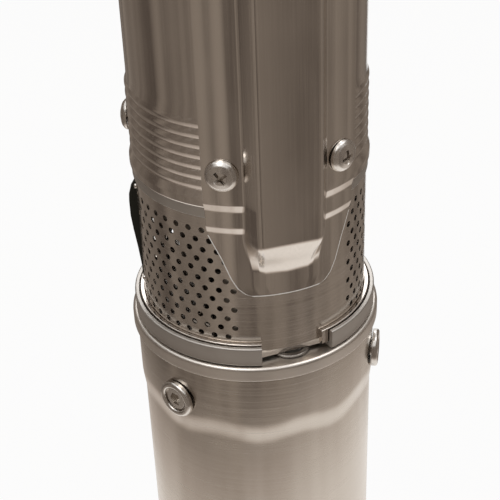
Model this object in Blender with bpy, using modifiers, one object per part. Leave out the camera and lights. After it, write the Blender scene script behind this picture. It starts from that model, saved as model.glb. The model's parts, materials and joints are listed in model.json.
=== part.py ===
"""Submersible borehole pump, standing on its motor.

The origin is the centre of the motor's flat base and +Z runs up the shaft. The cable guard faces -Y.
Sizes are in metres. Angles round the pump are measured from the guard's side, positive towards +X.
"""

import math

import bmesh
import bpy
from mathutils import Matrix

MM = 0.001
GAP = 0.3 * MM
RUNNING = 0.2 * MM
OVERCUT = 5 * MM

# Roundness of the turned pieces
BODY_SIDES = 24
INNER_SIDES = 12
SMALL_SIDES = 10
HOLE_SIDES = 6
SHARP_ANGLE = math.radians(32)

# Motor
MOTOR_HEIGHT = 370 * MM
CASING_RADIUS = 47.6 * MM
CASING_WALL = 1.2 * MM
COLLAR_STEP = 0.9 * MM
COLLAR_RADIUS = CASING_RADIUS + COLLAR_STEP
COLLAR_DEPTH = 24 * MM
NECK_STEP = 1.1 * MM
NECK_RADIUS = CASING_RADIUS - NECK_STEP
NECK_DEPTH = 12 * MM
NECK_SLOPE = 3.6 * MM
NECK_FLAT = 4.2 * MM
NECK_EASE = 1.2 * MM
RIM_STEP = 2.4 * MM
RIM_RADIUS = CASING_RADIUS + RIM_STEP
RIM_DEPTH = 5.8 * MM
RIM_EDGE = 0.8 * MM
BRACKET_WALL = 5 * MM
BRACKET_PLATE = 22 * MM
BRACKET_SKIRT = 52 * MM
MOTOR_SHAFT_RADIUS = 9 * MM
SHAFT_SPACE = 3 * MM
SHAFT_CHAMFER = 1 * MM
SHAFT_FOOT = 2 * MM
ROTOR_COLLAR_STEP = 3 * MM
ROTOR_COLLAR_HEIGHT = 14 * MM
SPLINE_RADIUS = 8 * MM
SPLINE_HEIGHT = 38 * MM
BEARING_RADIUS = 20 * MM
BEARING_HEIGHT = 14 * MM
BEARING_SEAT_SPARE = 6 * MM
ROTOR_CLEARANCE = 4 * MM
ROTOR_OVERHANG = 4 * MM
AIR_GAP = 0.4 * MM
STATOR_BOTTOM = 90 * MM
WINDING_HEIGHT = 28 * MM
WINDING_CHAMFER = 7 * MM
WINDING_SPACE = 20 * MM
STATOR_TOP = MOTOR_HEIGHT - BRACKET_SKIRT - WINDING_SPACE - WINDING_HEIGHT
WINDING_INSET = 5.6 * MM
WINDING_RADIUS = CASING_RADIUS - WINDING_INSET
ROTOR_SHARE = 0.462
ROTOR_RADIUS = CASING_RADIUS * ROTOR_SHARE
ROTOR_SEAT_RADIUS = ROTOR_RADIUS / 2
WINDING_BORE = ROTOR_RADIUS + ROTOR_CLEARANCE
BASE_HEIGHT = 12 * MM
BASE_FLOOR = 5 * MM
BASE_CUP_HEIGHT = 26 * MM
BASE_CUP_WALL = 7.6 * MM
BASE_CUP_BORE = CASING_RADIUS - BASE_CUP_WALL
BASE_CHAMFER = 2 * MM
VENT_RADIUS = 2.5 * MM
VENT_PLACE = 25 * MM
DIAPHRAGM_WALL = 2.5 * MM
DIAPHRAGM_INSET = 3.5 * MM
DIAPHRAGM_RADIUS = BASE_CUP_BORE - DIAPHRAGM_INSET
DIAPHRAGM_SPACE = 5 * MM
DIAPHRAGM_TAPER = 3 * MM
DIAPHRAGM_SEAT = 3 * MM
LOWER_BRACKET_HEIGHT = BASE_CUP_HEIGHT + DIAPHRAGM_SEAT
LOWER_BRACKET_FLOOR = 4 * MM
LOWER_BRACKET_PLATE = 3 * MM
LOWER_BRACKET_RIM = 8 * MM
LOWER_HUB_SPARE = 2 * MM
SLINGER_RADIUS = 19 * MM
SLINGER_WALL = 2 * MM
SLINGER_DISC = 3 * MM
SLINGER_TOP = 5.5 * MM
SLINGER_EDGE = 1.5 * MM
SLINGER_LIFT = 0.8 * MM
SEAL_RADIUS = 15.5 * MM
SEAL_CHAMBER_TOP = 7 * MM
SEAL_CHAMBER_BOTTOM = 25 * MM
SEAL_PART_HEIGHT = 4 * MM
SEAL_RING_INSET = 2 * MM
BELLOWS_CLEARANCE = 0.5 * MM
CASING_SCREW_DEPTH = 22.3 * MM
CASING_SCREW_HEAD = 7.8 * MM
CASING_SCREW_THICK = 3.0 * MM
CASING_SCREW_EDGE = 0.8 * MM
CASING_SCREW_LIP = 1.0 * MM
CASING_SCREW_SUNK = 0.6 * MM
CASING_SCREW_SHANK = 4.0 * MM
CASING_SCREW_LENGTH = 6.5 * MM
TAPPED_SPARE = 4 * MM
CASING_SCREW_SOCKET = 3.4 * MM
CASING_SCREW_SPREAD = (-60, 60, 180)

# Pump radii, all from the shell's
SHELL_RADIUS = 44 * MM
SHELL_WALL = 1.2 * MM
BAND_STEP = 1.6 * MM
RIB_STEP = 0.9 * MM
RING_STEP = 1 * MM
SCREEN_STEP = 0.4 * MM
FLANGE_STEP = 4.1 * MM
BAND_RADIUS = SHELL_RADIUS + BAND_STEP
RIB_RADIUS = SHELL_RADIUS + RIB_STEP
RING_RADIUS = SHELL_RADIUS + RING_STEP
SCREEN_RADIUS = SHELL_RADIUS + SCREEN_STEP
FLANGE_RADIUS = SCREEN_RADIUS + FLANGE_STEP

# Suction bracket and strainer, heights above the motor's top face
BRACKET_SHEET = 1.5 * MM
FLANGE_RIM_WALL = 1.8 * MM
FLANGE_RIM_TOP = 8.2 * MM
FLANGE_THICK = 8 * MM
FLANGE_GROOVE = 2.4 * MM
FLANGE_BORE = 22 * MM
SEAM_HEIGHT = 66.3 * MM
RING_HEIGHT = 4.2 * MM
RING_BOTTOM = SEAM_HEIGHT - RING_HEIGHT
SCREEN_TOP = RING_BOTTOM - GAP
WINDOW_BORDER = 7.8 * MM
WINDOW_TOP = SCREEN_TOP - WINDOW_BORDER
WINDOW_CONE = 3 * MM
WINDOW_SPANS = ((32, 82), (98, 148), (212, 262), (278, 328))
WINDOW_STEPS = 4
SPIGOT_LENGTH = 33.7 * MM
SPIGOT_HEIGHT = SEAM_HEIGHT + SPIGOT_LENGTH
SPIGOT_WALL = 3 * MM
SPIGOT_PLATE = 4 * MM
SPIGOT_CONE = 4 * MM
EYE_RADIUS = 24 * MM
STUD_RADIUS = 4 * MM
STUD_ANGLES = (45, 135, 225, 315)
STUD_DEPTH = 14 * MM
STUD_PROUD = 2 * MM
STUD_SIDES = 8
NUT_FLATS = 13 * MM
NUT_HEIGHT = 6.5 * MM
NUT_CLEARANCE = 1.6 * MM
LEAD_INSET = 12 * MM
LEAD_CIRCLE = RIM_RADIUS - LEAD_INSET
LEAD_CAP_RADIUS = 8 * MM
LEAD_CAP_HEIGHT = 0.8 * MM
LEAD_CAP_EDGE = 0.3 * MM
LEAD_BODY_RADIUS = 5.5 * MM
NOTCH_START = -13.3
NOTCH_END = 21.1
NOTCH_STEPS = 3
NOTCH_MARGIN = 3 * MM
NOTCH_DEPTH = LEAD_CIRCLE - LEAD_CAP_RADIUS - NOTCH_MARGIN

SCREEN_SHEET = 0.8 * MM
SCREEN_CLEARANCE = 0.8 * MM
SCREEN_BOTTOM = 2.8 * MM
SCREEN_RING_TOP = 8.7 * MM
SCREEN_RING_START = 17.1
HOLE_ROWS = 5
HOLE_COLUMNS = 20
HOLE_RADIUS = 2.8 * MM
FIRST_ROW = 15 * MM
SCREEN_BORDER = 8.4 * MM
LAST_ROW = SCREEN_TOP - SCREEN_BORDER
PLAIN_HALF_ANGLE = 30
CLOSING_ANGLE = -97.5
CLOSING_MARGIN = 15
CLOSING_HEIGHT = 2.9 * MM
CLOSING_FOOT = 0.8 * MM
CLOSING_LIFT = 1 * MM
CLOSING_FALL = 15.8 * MM
CLOSING_START = SCREEN_RING_TOP + CLOSING_LIFT
CLOSING_TAPER = SCREEN_TOP - CLOSING_FALL

# Pump shell, heights from its seams
BAND_HEIGHT = 6 * MM
BAND_EDGE = 0.6 * MM
RIB_COUNT = 7
TOP_RIB_COUNT = 4
RIB_PITCH = 4 * MM
FIRST_RIB = 8.3 * MM
RIB_RUN_IN = 1.6 * MM
RIB_ROOT = 0.1 * MM
O_RING_SECTION = 0.7 * MM
O_RING_HEIGHT = 3 * MM

# Pump stages
STAGE_COUNT = 4
STAGE_PITCH = 52 * MM
BOWL_WALL = 1.5 * MM
BOWL_WEB = 5 * MM
BOWL_SLOTS = 5
BOWL_SLOT_CIRCLE = 16 * MM
BOWL_SLOT_RADIUS = 4.2 * MM
IMPELLER_CLEARANCE = 5 * MM
IMPELLER_EYE = 20.5 * MM
IMPELLER_MOUTH = 3 * MM
IMPELLER_FRONT = 9 * MM
IMPELLER_RIM_BOTTOM = 13 * MM
IMPELLER_WEB = 20 * MM
IMPELLER_RIM_TOP = 24 * MM
IMPELLER_BACK = 28 * MM
EYE_WALL = 2.5 * MM
EYE_DRAFT = 1.5 * MM
IMPELLER_VANES = 5
PASSAGE_WIDTH = 12 * MM
PASSAGE_HEIGHT = 6 * MM
PASSAGE_MIDDLE = 17 * MM
HUB_RADIUS = 10 * MM
PUMP_SHAFT_RADIUS = 7 * MM
SHOULDER_HEIGHT = 20 * MM
SPIDER_HEIGHT = 8 * MM
SPIDER_SLOT_CIRCLE = 25 * MM
SPIDER_SLOT_RADIUS = 8 * MM
TOP_BEARING_RADIUS = 13 * MM
NUT_RADIUS = 11 * MM
NUT_LENGTH = 8 * MM
SHAFT_END = 4 * MM
COUPLING_RADIUS = 13.5 * MM
COUPLING_BOTTOM = 8 * MM
COUPLING_CLEARANCE = 6 * MM
COUPLING_EDGE = 1 * MM

# Discharge head, heights from the shell's top seam
HEAD_SPIGOT = 30 * MM
HEAD_SPIGOT_WALL = 4 * MM
HEAD_FUNNEL = 12 * MM
HEAD_CONE_BOTTOM = 12 * MM
HEAD_CONE_TOP = 28 * MM
HEAD_NECK_RADIUS = 31 * MM
HEAD_HEIGHT = 58 * MM
HEX_FLATS = 64 * MM
HEX_HEIGHT = 17 * MM
HEX_DROP = 2 * MM
HEX_ROOT = 3 * MM
OUTLET_RADIUS = 22.4 * MM
OUTLET_DEPTH = 22 * MM
SOCKET_REGISTER = 3 * MM
SOCKET_WALL = 2 * MM
SOCKET_BORE = HEAD_NECK_RADIUS - SOCKET_WALL
SOCKET_BOTTOM = HEAD_HEIGHT - OUTLET_DEPTH
CHAMBER_TOP = SOCKET_BOTTOM - SOCKET_REGISTER
CHAMBER_RADIUS = 27 * MM
THROAT_RADIUS = 17 * MM
THROAT_LENGTH = 4 * MM
SEAT_HEIGHT = -4 * MM
SEAT_SLOPE = 0.6
SEAT_CLEARANCE = 0.45 * MM
POPPET_RADIUS = 22 * MM
POPPET_THICK = 2.5 * MM
POPPET_TIP = 1 * MM
STEM_RADIUS = 3 * MM
SPRING_RADIUS = 7 * MM
SPRING_WIRE = 0.6 * MM
SPRING_TURNS = 4
SPRING_TURN_POINTS = 8
STEM_PROUD = 2 * MM
GUIDE_THICK = 6 * MM
GUIDE_SLOTS = 4
GUIDE_SLOT_CIRCLE = 15.5 * MM
GUIDE_SLOT_RADIUS = 7.5 * MM
EYELET_THICK = 6 * MM
EYELET_HOLE = 4.5 * MM
EYELET_TIP = 6.5 * MM
EYELET_OFFSET = 6.5 * MM
EYELET_PLACE = HEAD_NECK_RADIUS + EYELET_OFFSET
EYELET_HEIGHT = 32 * MM
EYELET_ROOT = 1 * MM
EYELET_SINK = 1 * MM
EYELET_SHOULDER = 1.5 * MM

# Cable guard
GUARD_SHEET = 0.8 * MM
GUARD_CLEARANCE = 0.45 * MM
GUARD_RISE = 4.65 * MM
GUARD_FACE = 10.4 * MM
GUARD_CORNER = 11.9 * MM
GUARD_CORNER_DROP = 0.8 * MM
GUARD_WALL_FOOT = 14.9 * MM
GUARD_FOOT_DROP = 0.8 * MM
GUARD_TOP = 9 * MM
GUARD_CHAMFER = 8 * MM
JOGGLE_UPPER_DROP = 2.2 * MM
JOGGLE_LOWER_DROP = 1.8 * MM
JOGGLE_LOWER_HEIGHT = 3.5 * MM
POCKET_DROP = 3 * MM
POCKET_HEIGHT = 13.5 * MM
POCKET_MIDDLE_RISE = 0.55
WAIST_DROP = 3 * MM
WAIST_HEIGHT = 6.9 * MM
TOE_HEIGHT = 3 * MM
GUARD_SCREW_HEIGHT = 15.2 * MM

# Half widths of the guard, measured round the shell's band
GUARD_TOP_WIDTH = 23.7 * MM
GUARD_WIDTH = 29.85 * MM
GUARD_SHOULDER_WIDTH = 28.6 * MM
GUARD_POCKET_WIDTH = 24.9 * MM
GUARD_POCKET_END_WIDTH = 22.5 * MM
GUARD_WAIST_WIDTH = 21.25 * MM
GUARD_TOE_WIDTH = 17.6 * MM
GUARD_TIP_WIDTH = 13.5 * MM
GUARD_FOOT_WIDTH = 15.95 * MM
GUARD_FOOT_SHARE = 0.8
GUARD_SCREW_OFFSET = 22.5 * MM

# Pan-head screws
LOCK_SCREW_ANGLE = 112
PAN_HEAD_RADIUS = 6.1 * MM
PAN_HEAD_THICK = 3 * MM
PAN_HEAD_DOME = ((0.0, 1.0), (0.55, 0.86), (0.88, 0.5), (1.0, 0.0))
PAN_SHANK_RADIUS = 2.2 * MM
PAN_SHANK_PROUD = 2.5 * MM
SCREW_HOLE_RADIUS = 2.6 * MM

# Places that follow from the sizes above
SEAM = MOTOR_HEIGHT + SEAM_HEIGHT
STAGES_BOTTOM = MOTOR_HEIGHT + SPIGOT_HEIGHT + GAP
STAGES_TOP = STAGES_BOTTOM + STAGE_COUNT * STAGE_PITCH
SPIDER_BOTTOM = STAGES_TOP
TOP_SEAM = SPIDER_BOTTOM + SPIDER_HEIGHT + GAP + HEAD_SPIGOT
SHELL_BORE = SHELL_RADIUS - SHELL_WALL
SPIGOT_RADIUS = SHELL_BORE - GAP
CASING_BORE = CASING_RADIUS - CASING_WALL
IMPELLER_RADIUS = SPIGOT_RADIUS - BOWL_WALL - IMPELLER_CLEARANCE
BRACKET_RADIUS = SCREEN_RADIUS - SCREEN_SHEET - SCREEN_CLEARANCE
STUD_CIRCLE = SCREEN_RADIUS - SCREEN_SHEET - NUT_CLEARANCE - NUT_FLATS / 2
ROW_PITCH = (LAST_ROW - FIRST_ROW) / (HOLE_ROWS - 1)
SHOULDER_BOTTOM = STAGES_BOTTOM - GAP - SHOULDER_HEIGHT
FACET_SHARE = math.cos(math.pi / BODY_SIDES)
SCREEN_RING_BORE = (SCREEN_RADIUS + GAP) / FACET_SHARE
SCREEN_RING_RADIUS = (FLANGE_RADIUS - FLANGE_RIM_WALL) * FACET_SHARE - GAP
GUARD_OVER_BAND = BAND_RADIUS + GUARD_CLEARANCE + GUARD_SHEET
GUARD_FRONT = GUARD_OVER_BAND + GUARD_RISE
JOGGLE_UPPER = SEAM_HEIGHT - JOGGLE_UPPER_DROP
JOGGLE_LOWER_TOP = SCREEN_TOP - JOGGLE_LOWER_DROP
JOGGLE_LOWER_BOTTOM = JOGGLE_LOWER_TOP - JOGGLE_LOWER_HEIGHT
POCKET_TOP = JOGGLE_LOWER_BOTTOM - POCKET_DROP
POCKET_BOTTOM = POCKET_TOP - POCKET_HEIGHT
GUARD_WAIST = POCKET_BOTTOM - WAIST_DROP
GUARD_BOTTOM = GUARD_WAIST - WAIST_HEIGHT
GUARD_TOE = GUARD_BOTTOM + TOE_HEIGHT
GUARD_OVER_RING = RING_RADIUS + GUARD_CLEARANCE + GUARD_SHEET
GUARD_OVER_SCREEN = SCREEN_RADIUS + GUARD_CLEARANCE + GUARD_SHEET

PUMP = None
CUTTERS = None


def start_scene():
    """Empties the scene and makes the two collections."""
    global PUMP, CUTTERS
    for old in list(bpy.data.objects):
        bpy.data.objects.remove(old, do_unlink=True)
    PUMP = bpy.data.collections.new("submersible_pump")
    CUTTERS = bpy.data.collections.new("cutters")
    for collection in (PUMP, CUTTERS):
        bpy.context.scene.collection.children.link(collection)


def finish(part, colour, roughness, metallic=1.0):
    """Gives a part its own Principled material."""
    material = bpy.data.materials.new(part.name)
    material.use_nodes = True
    shader = material.node_tree.nodes["Principled BSDF"]
    shader.inputs["Base Color"].default_value = (*colour, 1.0)
    shader.inputs["Roughness"].default_value = roughness
    shader.inputs["Metallic"].default_value = metallic
    if not part.data.materials:
        part.data.materials.append(material)
    part.material_slots[0].link = "OBJECT"
    part.material_slots[0].material = material
    return part


def brushed_steel(part):
    return finish(part, (0.56, 0.53, 0.49), 0.3)


def cast_steel(part):
    return finish(part, (0.46, 0.44, 0.41), 0.45)


def bright_steel(part):
    return finish(part, (0.68, 0.66, 0.63), 0.18)


def iron(part):
    return finish(part, (0.24, 0.24, 0.25), 0.6)


def bronze(part):
    return finish(part, (0.55, 0.38, 0.18), 0.4)


def copper(part):
    return finish(part, (0.62, 0.27, 0.12), 0.45)


def rubber(part):
    return finish(part, (0.03, 0.03, 0.03), 0.75, 0.0)


def ceramic(part):
    return finish(part, (0.78, 0.76, 0.72), 0.35, 0.0)


def outward(angle, radius, height):
    """Matrix that stands a piece's +Z straight out from the pump's axis."""
    turn = Matrix.Rotation(math.radians(angle), 4, "Z")
    move = Matrix.Translation((0.0, -radius, height))
    return turn @ move @ Matrix.Rotation(math.radians(90), 4, "X")


def upright(angle, radius, height):
    """Matrix that stands a piece upright at a place round the pump's axis."""
    turn = Matrix.Rotation(math.radians(angle), 4, "Z")
    return turn @ Matrix.Translation((0.0, -radius, height))


def arc(radius, start, end, steps):
    """Points of a level arc between two angles."""
    points = []
    for step in range(steps + 1):
        angle = math.radians(start + (end - start) * step / steps)
        points.append((radius * math.sin(angle), -radius * math.cos(angle)))
    return points


def baked(holder):
    """The object's mesh with its modifiers applied; the object itself goes."""
    graph = bpy.context.evaluated_depsgraph_get()
    mesh = bpy.data.meshes.new_from_object(holder.evaluated_get(graph))
    mesh.name = holder.name
    bpy.data.objects.remove(holder, do_unlink=True)
    return mesh


def smoothed(mesh):
    """Shades a mesh smooth, with its real edges kept sharp."""
    mesh.shade_smooth()
    mesh.set_sharp_from_angle(angle=SHARP_ANGLE)
    return mesh


def part_from(name, mesh, location=(0.0, 0.0, 0.0)):
    part = bpy.data.objects.new(name, mesh)
    part.location = location
    PUMP.objects.link(part)
    return part


def turned_mesh(name, profile, sides):
    """Spins a profile of (radius, height) points, which runs down its outer side first."""
    closed = profile[0][0] > 0.0 or profile[-1][0] > 0.0
    count = len(profile)
    edges = [(index, index + 1) for index in range(count - 1)]
    if closed:
        edges.append((count - 1, 0))
    outline = bpy.data.meshes.new(name)
    outline.from_pydata([(radius, 0.0, height) for radius, height in profile], edges, [])
    holder = bpy.data.objects.new(name, outline)
    PUMP.objects.link(holder)
    turn = holder.modifiers.new("Turn", "SCREW")
    turn.axis = "Z"
    turn.steps = sides
    turn.render_steps = sides
    turn.use_merge_vertices = True
    turn.merge_threshold = 0.00001
    return smoothed(baked(holder))


def turned(name, profile, sides=BODY_SIDES, height=0.0):
    return part_from(name, turned_mesh(name, profile, sides), (0.0, 0.0, height))


def repeated(name, mesh, places, finish_part):
    """The same piece at several places, each copy an object of its own that shares the mesh."""
    for number, place in enumerate(places, 1):
        part = part_from(f"{name}_{number}", mesh)
        part.matrix_world = place
        finish_part(part)


def ring_profile(outer, inner, bottom, top):
    return [(outer, top), (outer, bottom), (inner, bottom), (inner, top)]


def plate_mesh(name, outline, bottom, top):
    """A flat outline of (x, y) points, filled and given its thickness."""
    curve = bpy.data.curves.new(name, "CURVE")
    curve.dimensions = "2D"
    curve.fill_mode = "BOTH"
    curve.extrude = (top - bottom) / 2
    spline = curve.splines.new("POLY")
    spline.points.add(len(outline) - 1)
    for point, (x, y) in zip(spline.points, outline):
        point.co = (x, y, 0.0, 1.0)
    spline.use_cyclic_u = True
    holder = bpy.data.objects.new(name, curve)
    PUMP.objects.link(holder)
    mesh = baked(holder)
    sheet = bmesh.new()
    sheet.from_mesh(mesh)
    bmesh.ops.remove_doubles(sheet, verts=sheet.verts, dist=0.00001)
    bmesh.ops.translate(sheet, verts=sheet.verts, vec=(0.0, 0.0, (bottom + top) / 2))
    bmesh.ops.recalc_face_normals(sheet, faces=sheet.faces)
    sheet.to_mesh(mesh)
    sheet.free()
    return smoothed(mesh)


def sector_mesh(name, start, end, inner, outer, bottom, top, steps):
    """A slice of a thick ring between two angles."""
    outline = arc(outer, start, end, steps) + arc(inner, end, start, steps)
    return plate_mesh(name, outline, bottom, top)


def rod_mesh(name, radius, bottom, top, sides=SMALL_SIDES):
    """A straight rod along Z."""
    rod = bmesh.new()
    bmesh.ops.create_cone(
        rod,
        cap_ends=True,
        segments=sides,
        radius1=radius,
        radius2=radius,
        depth=top - bottom,
        matrix=Matrix.Translation((0.0, 0.0, (bottom + top) / 2)),
    )
    mesh = bpy.data.meshes.new(name)
    rod.to_mesh(mesh)
    rod.free()
    return smoothed(mesh)


def grouped(name, meshes, places):
    """One mesh with a copy of each given mesh at each place."""
    group = bmesh.new()
    for mesh in meshes:
        for place in places:
            copy = mesh.copy()
            copy.transform(place)
            group.from_mesh(copy)
            bpy.data.meshes.remove(copy)
    result = bpy.data.meshes.new(name)
    group.to_mesh(result)
    group.free()
    return smoothed(result)


def combine(part, name, mesh, operation="DIFFERENCE"):
    """Cuts a mesh out of a part, or joins it on, with a live Boolean."""
    tool = bpy.data.objects.new(name, mesh)
    tool.hide_render = True
    tool.display_type = "WIRE"
    CUTTERS.objects.link(tool)
    step = part.modifiers.new(name, "BOOLEAN")
    step.operation = operation
    step.solver = "EXACT"
    step.object = tool
    return part


def drill(part, name, radius, bottom, top, places):
    """Faceted holes whose flats lie at the radius."""
    corner = radius / math.cos(math.pi / HOLE_SIDES)
    rod = rod_mesh(name, corner, bottom, top, HOLE_SIDES)
    return combine(part, name, grouped(name, [rod], places))


def running_bore(radius):
    """Corner radius of a faceted bore whose flats clear a shaft that turns in it."""
    return (radius + RUNNING) / math.cos(math.pi / INNER_SIDES)


def casing_profile(offset):
    """The motor tube's skin below its rim, top to bottom, moved in by an offset."""
    collar_bottom = MOTOR_HEIGHT - RIM_DEPTH - COLLAR_DEPTH
    points = [(COLLAR_RADIUS - offset, MOTOR_HEIGHT - RIM_DEPTH - GAP)]
    points.append((COLLAR_RADIUS - offset, collar_bottom))
    points.append((NECK_RADIUS - offset, collar_bottom - NECK_SLOPE))
    points.append((NECK_RADIUS - offset, collar_bottom - NECK_SLOPE - NECK_FLAT))
    points.append((CASING_RADIUS - offset, collar_bottom - NECK_DEPTH))
    points.append((CASING_RADIUS - offset, BASE_HEIGHT + GAP))
    return points


def casing_screw_places(radius):
    """Places of the casing screws, spread evenly from the lead's side."""
    height = MOTOR_HEIGHT - CASING_SCREW_DEPTH
    return [outward(lead_angle() + spread, radius, height) for spread in CASING_SCREW_SPREAD]


def stud_places(height):
    return [upright(angle, STUD_CIRCLE, height) for angle in STUD_ANGLES]


def lead_angle():
    return (NOTCH_START + NOTCH_END) / 2


def make_motor_casing():
    profile = casing_profile(0.0) + casing_profile(CASING_WALL)[::-1]
    casing = brushed_steel(turned("motor_casing", profile))
    places = casing_screw_places(COLLAR_RADIUS)
    drill(casing, "casing_screw_holes", CASING_SCREW_SHANK + GAP, -OVERCUT, OVERCUT, places)


def make_motor_top_bracket():
    """End casting: rim, skirt inside the casing, bearing seat and seal chamber."""
    top = MOTOR_HEIGHT
    skirt = COLLAR_RADIUS - CASING_WALL - GAP
    groove = NECK_RADIUS - CASING_WALL - GAP
    skirt_end = CASING_BORE - GAP
    collar_bottom = top - RIM_DEPTH - COLLAR_DEPTH
    seat_top = top - SEAL_CHAMBER_BOTTOM
    seat_bottom = seat_top - BEARING_HEIGHT - BEARING_SEAT_SPARE
    hub = BEARING_RADIUS + BRACKET_WALL
    profile = [
        (RIM_RADIUS - RIM_EDGE, top),
        (RIM_RADIUS, top - RIM_EDGE),
        (RIM_RADIUS, top - RIM_DEPTH),
        (skirt, top - RIM_DEPTH),
        (skirt, collar_bottom + NECK_EASE),
        (groove, collar_bottom - NECK_SLOPE + NECK_EASE),
        (groove, collar_bottom - NECK_SLOPE - NECK_FLAT - NECK_EASE / 2),
        (skirt_end, collar_bottom - NECK_DEPTH - NECK_EASE),
        (skirt_end, top - BRACKET_SKIRT),
        (skirt_end - BRACKET_WALL, top - BRACKET_SKIRT),
        (skirt_end - BRACKET_WALL, top - BRACKET_PLATE),
        (hub, top - BRACKET_PLATE),
        (hub, seat_bottom),
        (BEARING_RADIUS + GAP, seat_bottom),
        (BEARING_RADIUS + GAP, seat_top),
        (SEAL_RADIUS + GAP, seat_top),
        (SEAL_RADIUS + GAP, top - SEAL_CHAMBER_TOP),
        (MOTOR_SHAFT_RADIUS + SHAFT_SPACE, top - SEAL_CHAMBER_TOP),
        (MOTOR_SHAFT_RADIUS + SHAFT_SPACE, top),
    ]
    bracket = cast_steel(turned("motor_top_bracket", profile))
    tapped = CASING_SCREW_SHANK + GAP
    drill(bracket, "tapped_screw_holes", tapped, -CASING_SCREW_LENGTH - TAPPED_SPARE, OVERCUT,
          casing_screw_places(COLLAR_RADIUS))
    drill(bracket, "stud_bores", STUD_RADIUS + GAP, -STUD_DEPTH - GAP, OVERCUT, stud_places(top))
    drill(bracket, "lead_bore", LEAD_BODY_RADIUS + GAP, -BRACKET_PLATE - OVERCUT, OVERCUT,
          [upright(lead_angle(), LEAD_CIRCLE, top)])


def make_casing_screws():
    """Round heads with a raised rim, a sunk face and a hexagon socket."""
    head = CASING_SCREW_HEAD
    face = CASING_SCREW_THICK - CASING_SCREW_SUNK
    lip = head - CASING_SCREW_EDGE - CASING_SCREW_LIP
    profile = [
        (0.0, face),
        (lip - CASING_SCREW_SUNK, face),
        (lip, CASING_SCREW_THICK),
        (head - CASING_SCREW_EDGE, CASING_SCREW_THICK),
        (head, CASING_SCREW_THICK - CASING_SCREW_EDGE),
        (head, 0.0),
        (CASING_SCREW_SHANK, 0.0),
        (CASING_SCREW_SHANK, -CASING_SCREW_LENGTH),
        (0.0, -CASING_SCREW_LENGTH),
    ]
    screw = part_from("casing_screw", turned_mesh("casing_screw", profile, SMALL_SIDES))
    socket = rod_mesh("hexagon_socket", CASING_SCREW_SOCKET, CASING_SCREW_SUNK, CASING_SCREW_THICK + OVERCUT, 6)
    combine(screw, "hexagon_socket", socket)
    repeated("casing_screw", baked(screw), casing_screw_places(COLLAR_RADIUS + GAP), bright_steel)


def make_lead_socket():
    """Round cap on the motor's face with its body down through the casting."""
    profile = [
        (0.0, LEAD_CAP_HEIGHT),
        (LEAD_CAP_RADIUS - LEAD_CAP_EDGE, LEAD_CAP_HEIGHT),
        (LEAD_CAP_RADIUS, LEAD_CAP_HEIGHT - LEAD_CAP_EDGE),
        (LEAD_CAP_RADIUS, 0.0),
        (LEAD_BODY_RADIUS, 0.0),
        (LEAD_BODY_RADIUS, -BRACKET_PLATE),
        (0.0, -BRACKET_PLATE),
    ]
    mesh = turned_mesh("lead_socket", profile, SMALL_SIDES)
    mesh.transform(upright(lead_angle(), LEAD_CIRCLE, MOTOR_HEIGHT + GAP))
    finish(part_from("lead_socket", mesh), (0.12, 0.11, 0.1), 0.5, 0.0)


def make_motor_base():
    """Flat foot of the motor with the cup that holds the diaphragm."""
    cup = CASING_BORE - GAP
    profile = [
        (0.0, BASE_FLOOR),
        (BASE_CUP_BORE, BASE_FLOOR),
        (BASE_CUP_BORE, BASE_CUP_HEIGHT),
        (cup, BASE_CUP_HEIGHT),
        (cup, BASE_HEIGHT),
        (CASING_RADIUS, BASE_HEIGHT),
        (CASING_RADIUS, BASE_CHAMFER),
        (CASING_RADIUS - BASE_CHAMFER, 0.0),
        (0.0, 0.0),
    ]
    base = cast_steel(turned("motor_base", profile))
    places = [upright(angle, VENT_PLACE, 0.0) for angle in (0, 180)]
    drill(base, "vents", VENT_RADIUS, -OVERCUT, BASE_FLOOR + OVERCUT, places)


def make_diaphragm():
    """Rubber cup, its rim held between the base and the lower bracket."""
    rim = CASING_BORE - 2 * GAP
    low = BASE_CUP_HEIGHT + GAP
    high = LOWER_BRACKET_HEIGHT - GAP
    floor = BASE_FLOOR + DIAPHRAGM_SPACE
    inner = DIAPHRAGM_RADIUS - DIAPHRAGM_WALL
    profile = [
        (0.0, floor + DIAPHRAGM_WALL),
        (inner - DIAPHRAGM_TAPER, floor + DIAPHRAGM_WALL),
        (inner, high),
        (rim, high),
        (rim, low),
        (DIAPHRAGM_RADIUS, low),
        (DIAPHRAGM_RADIUS - DIAPHRAGM_TAPER, floor),
        (0.0, floor),
    ]
    rubber(turned("diaphragm", profile, INNER_SIDES))


def make_lower_bracket():
    """Disc with the seat of the thrust bearing."""
    outer = CASING_BORE - GAP
    bottom = LOWER_BRACKET_HEIGHT
    floor = bottom + LOWER_BRACKET_FLOOR
    plate_top = floor + LOWER_BRACKET_PLATE
    hub_top = floor + BEARING_HEIGHT + LOWER_HUB_SPARE
    profile = [
        (outer, hub_top + LOWER_BRACKET_RIM),
        (outer, bottom),
        (MOTOR_SHAFT_RADIUS + SHAFT_SPACE, bottom),
        (MOTOR_SHAFT_RADIUS + SHAFT_SPACE, floor),
        (BEARING_RADIUS + GAP, floor),
        (BEARING_RADIUS + GAP, hub_top),
        (BEARING_RADIUS + BRACKET_WALL, hub_top),
        (BEARING_RADIUS + BRACKET_WALL, plate_top),
        (outer - BRACKET_WALL, plate_top),
        (outer - BRACKET_WALL, hub_top + LOWER_BRACKET_RIM),
    ]
    cast_steel(turned("motor_lower_bracket", profile, INNER_SIDES))


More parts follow.
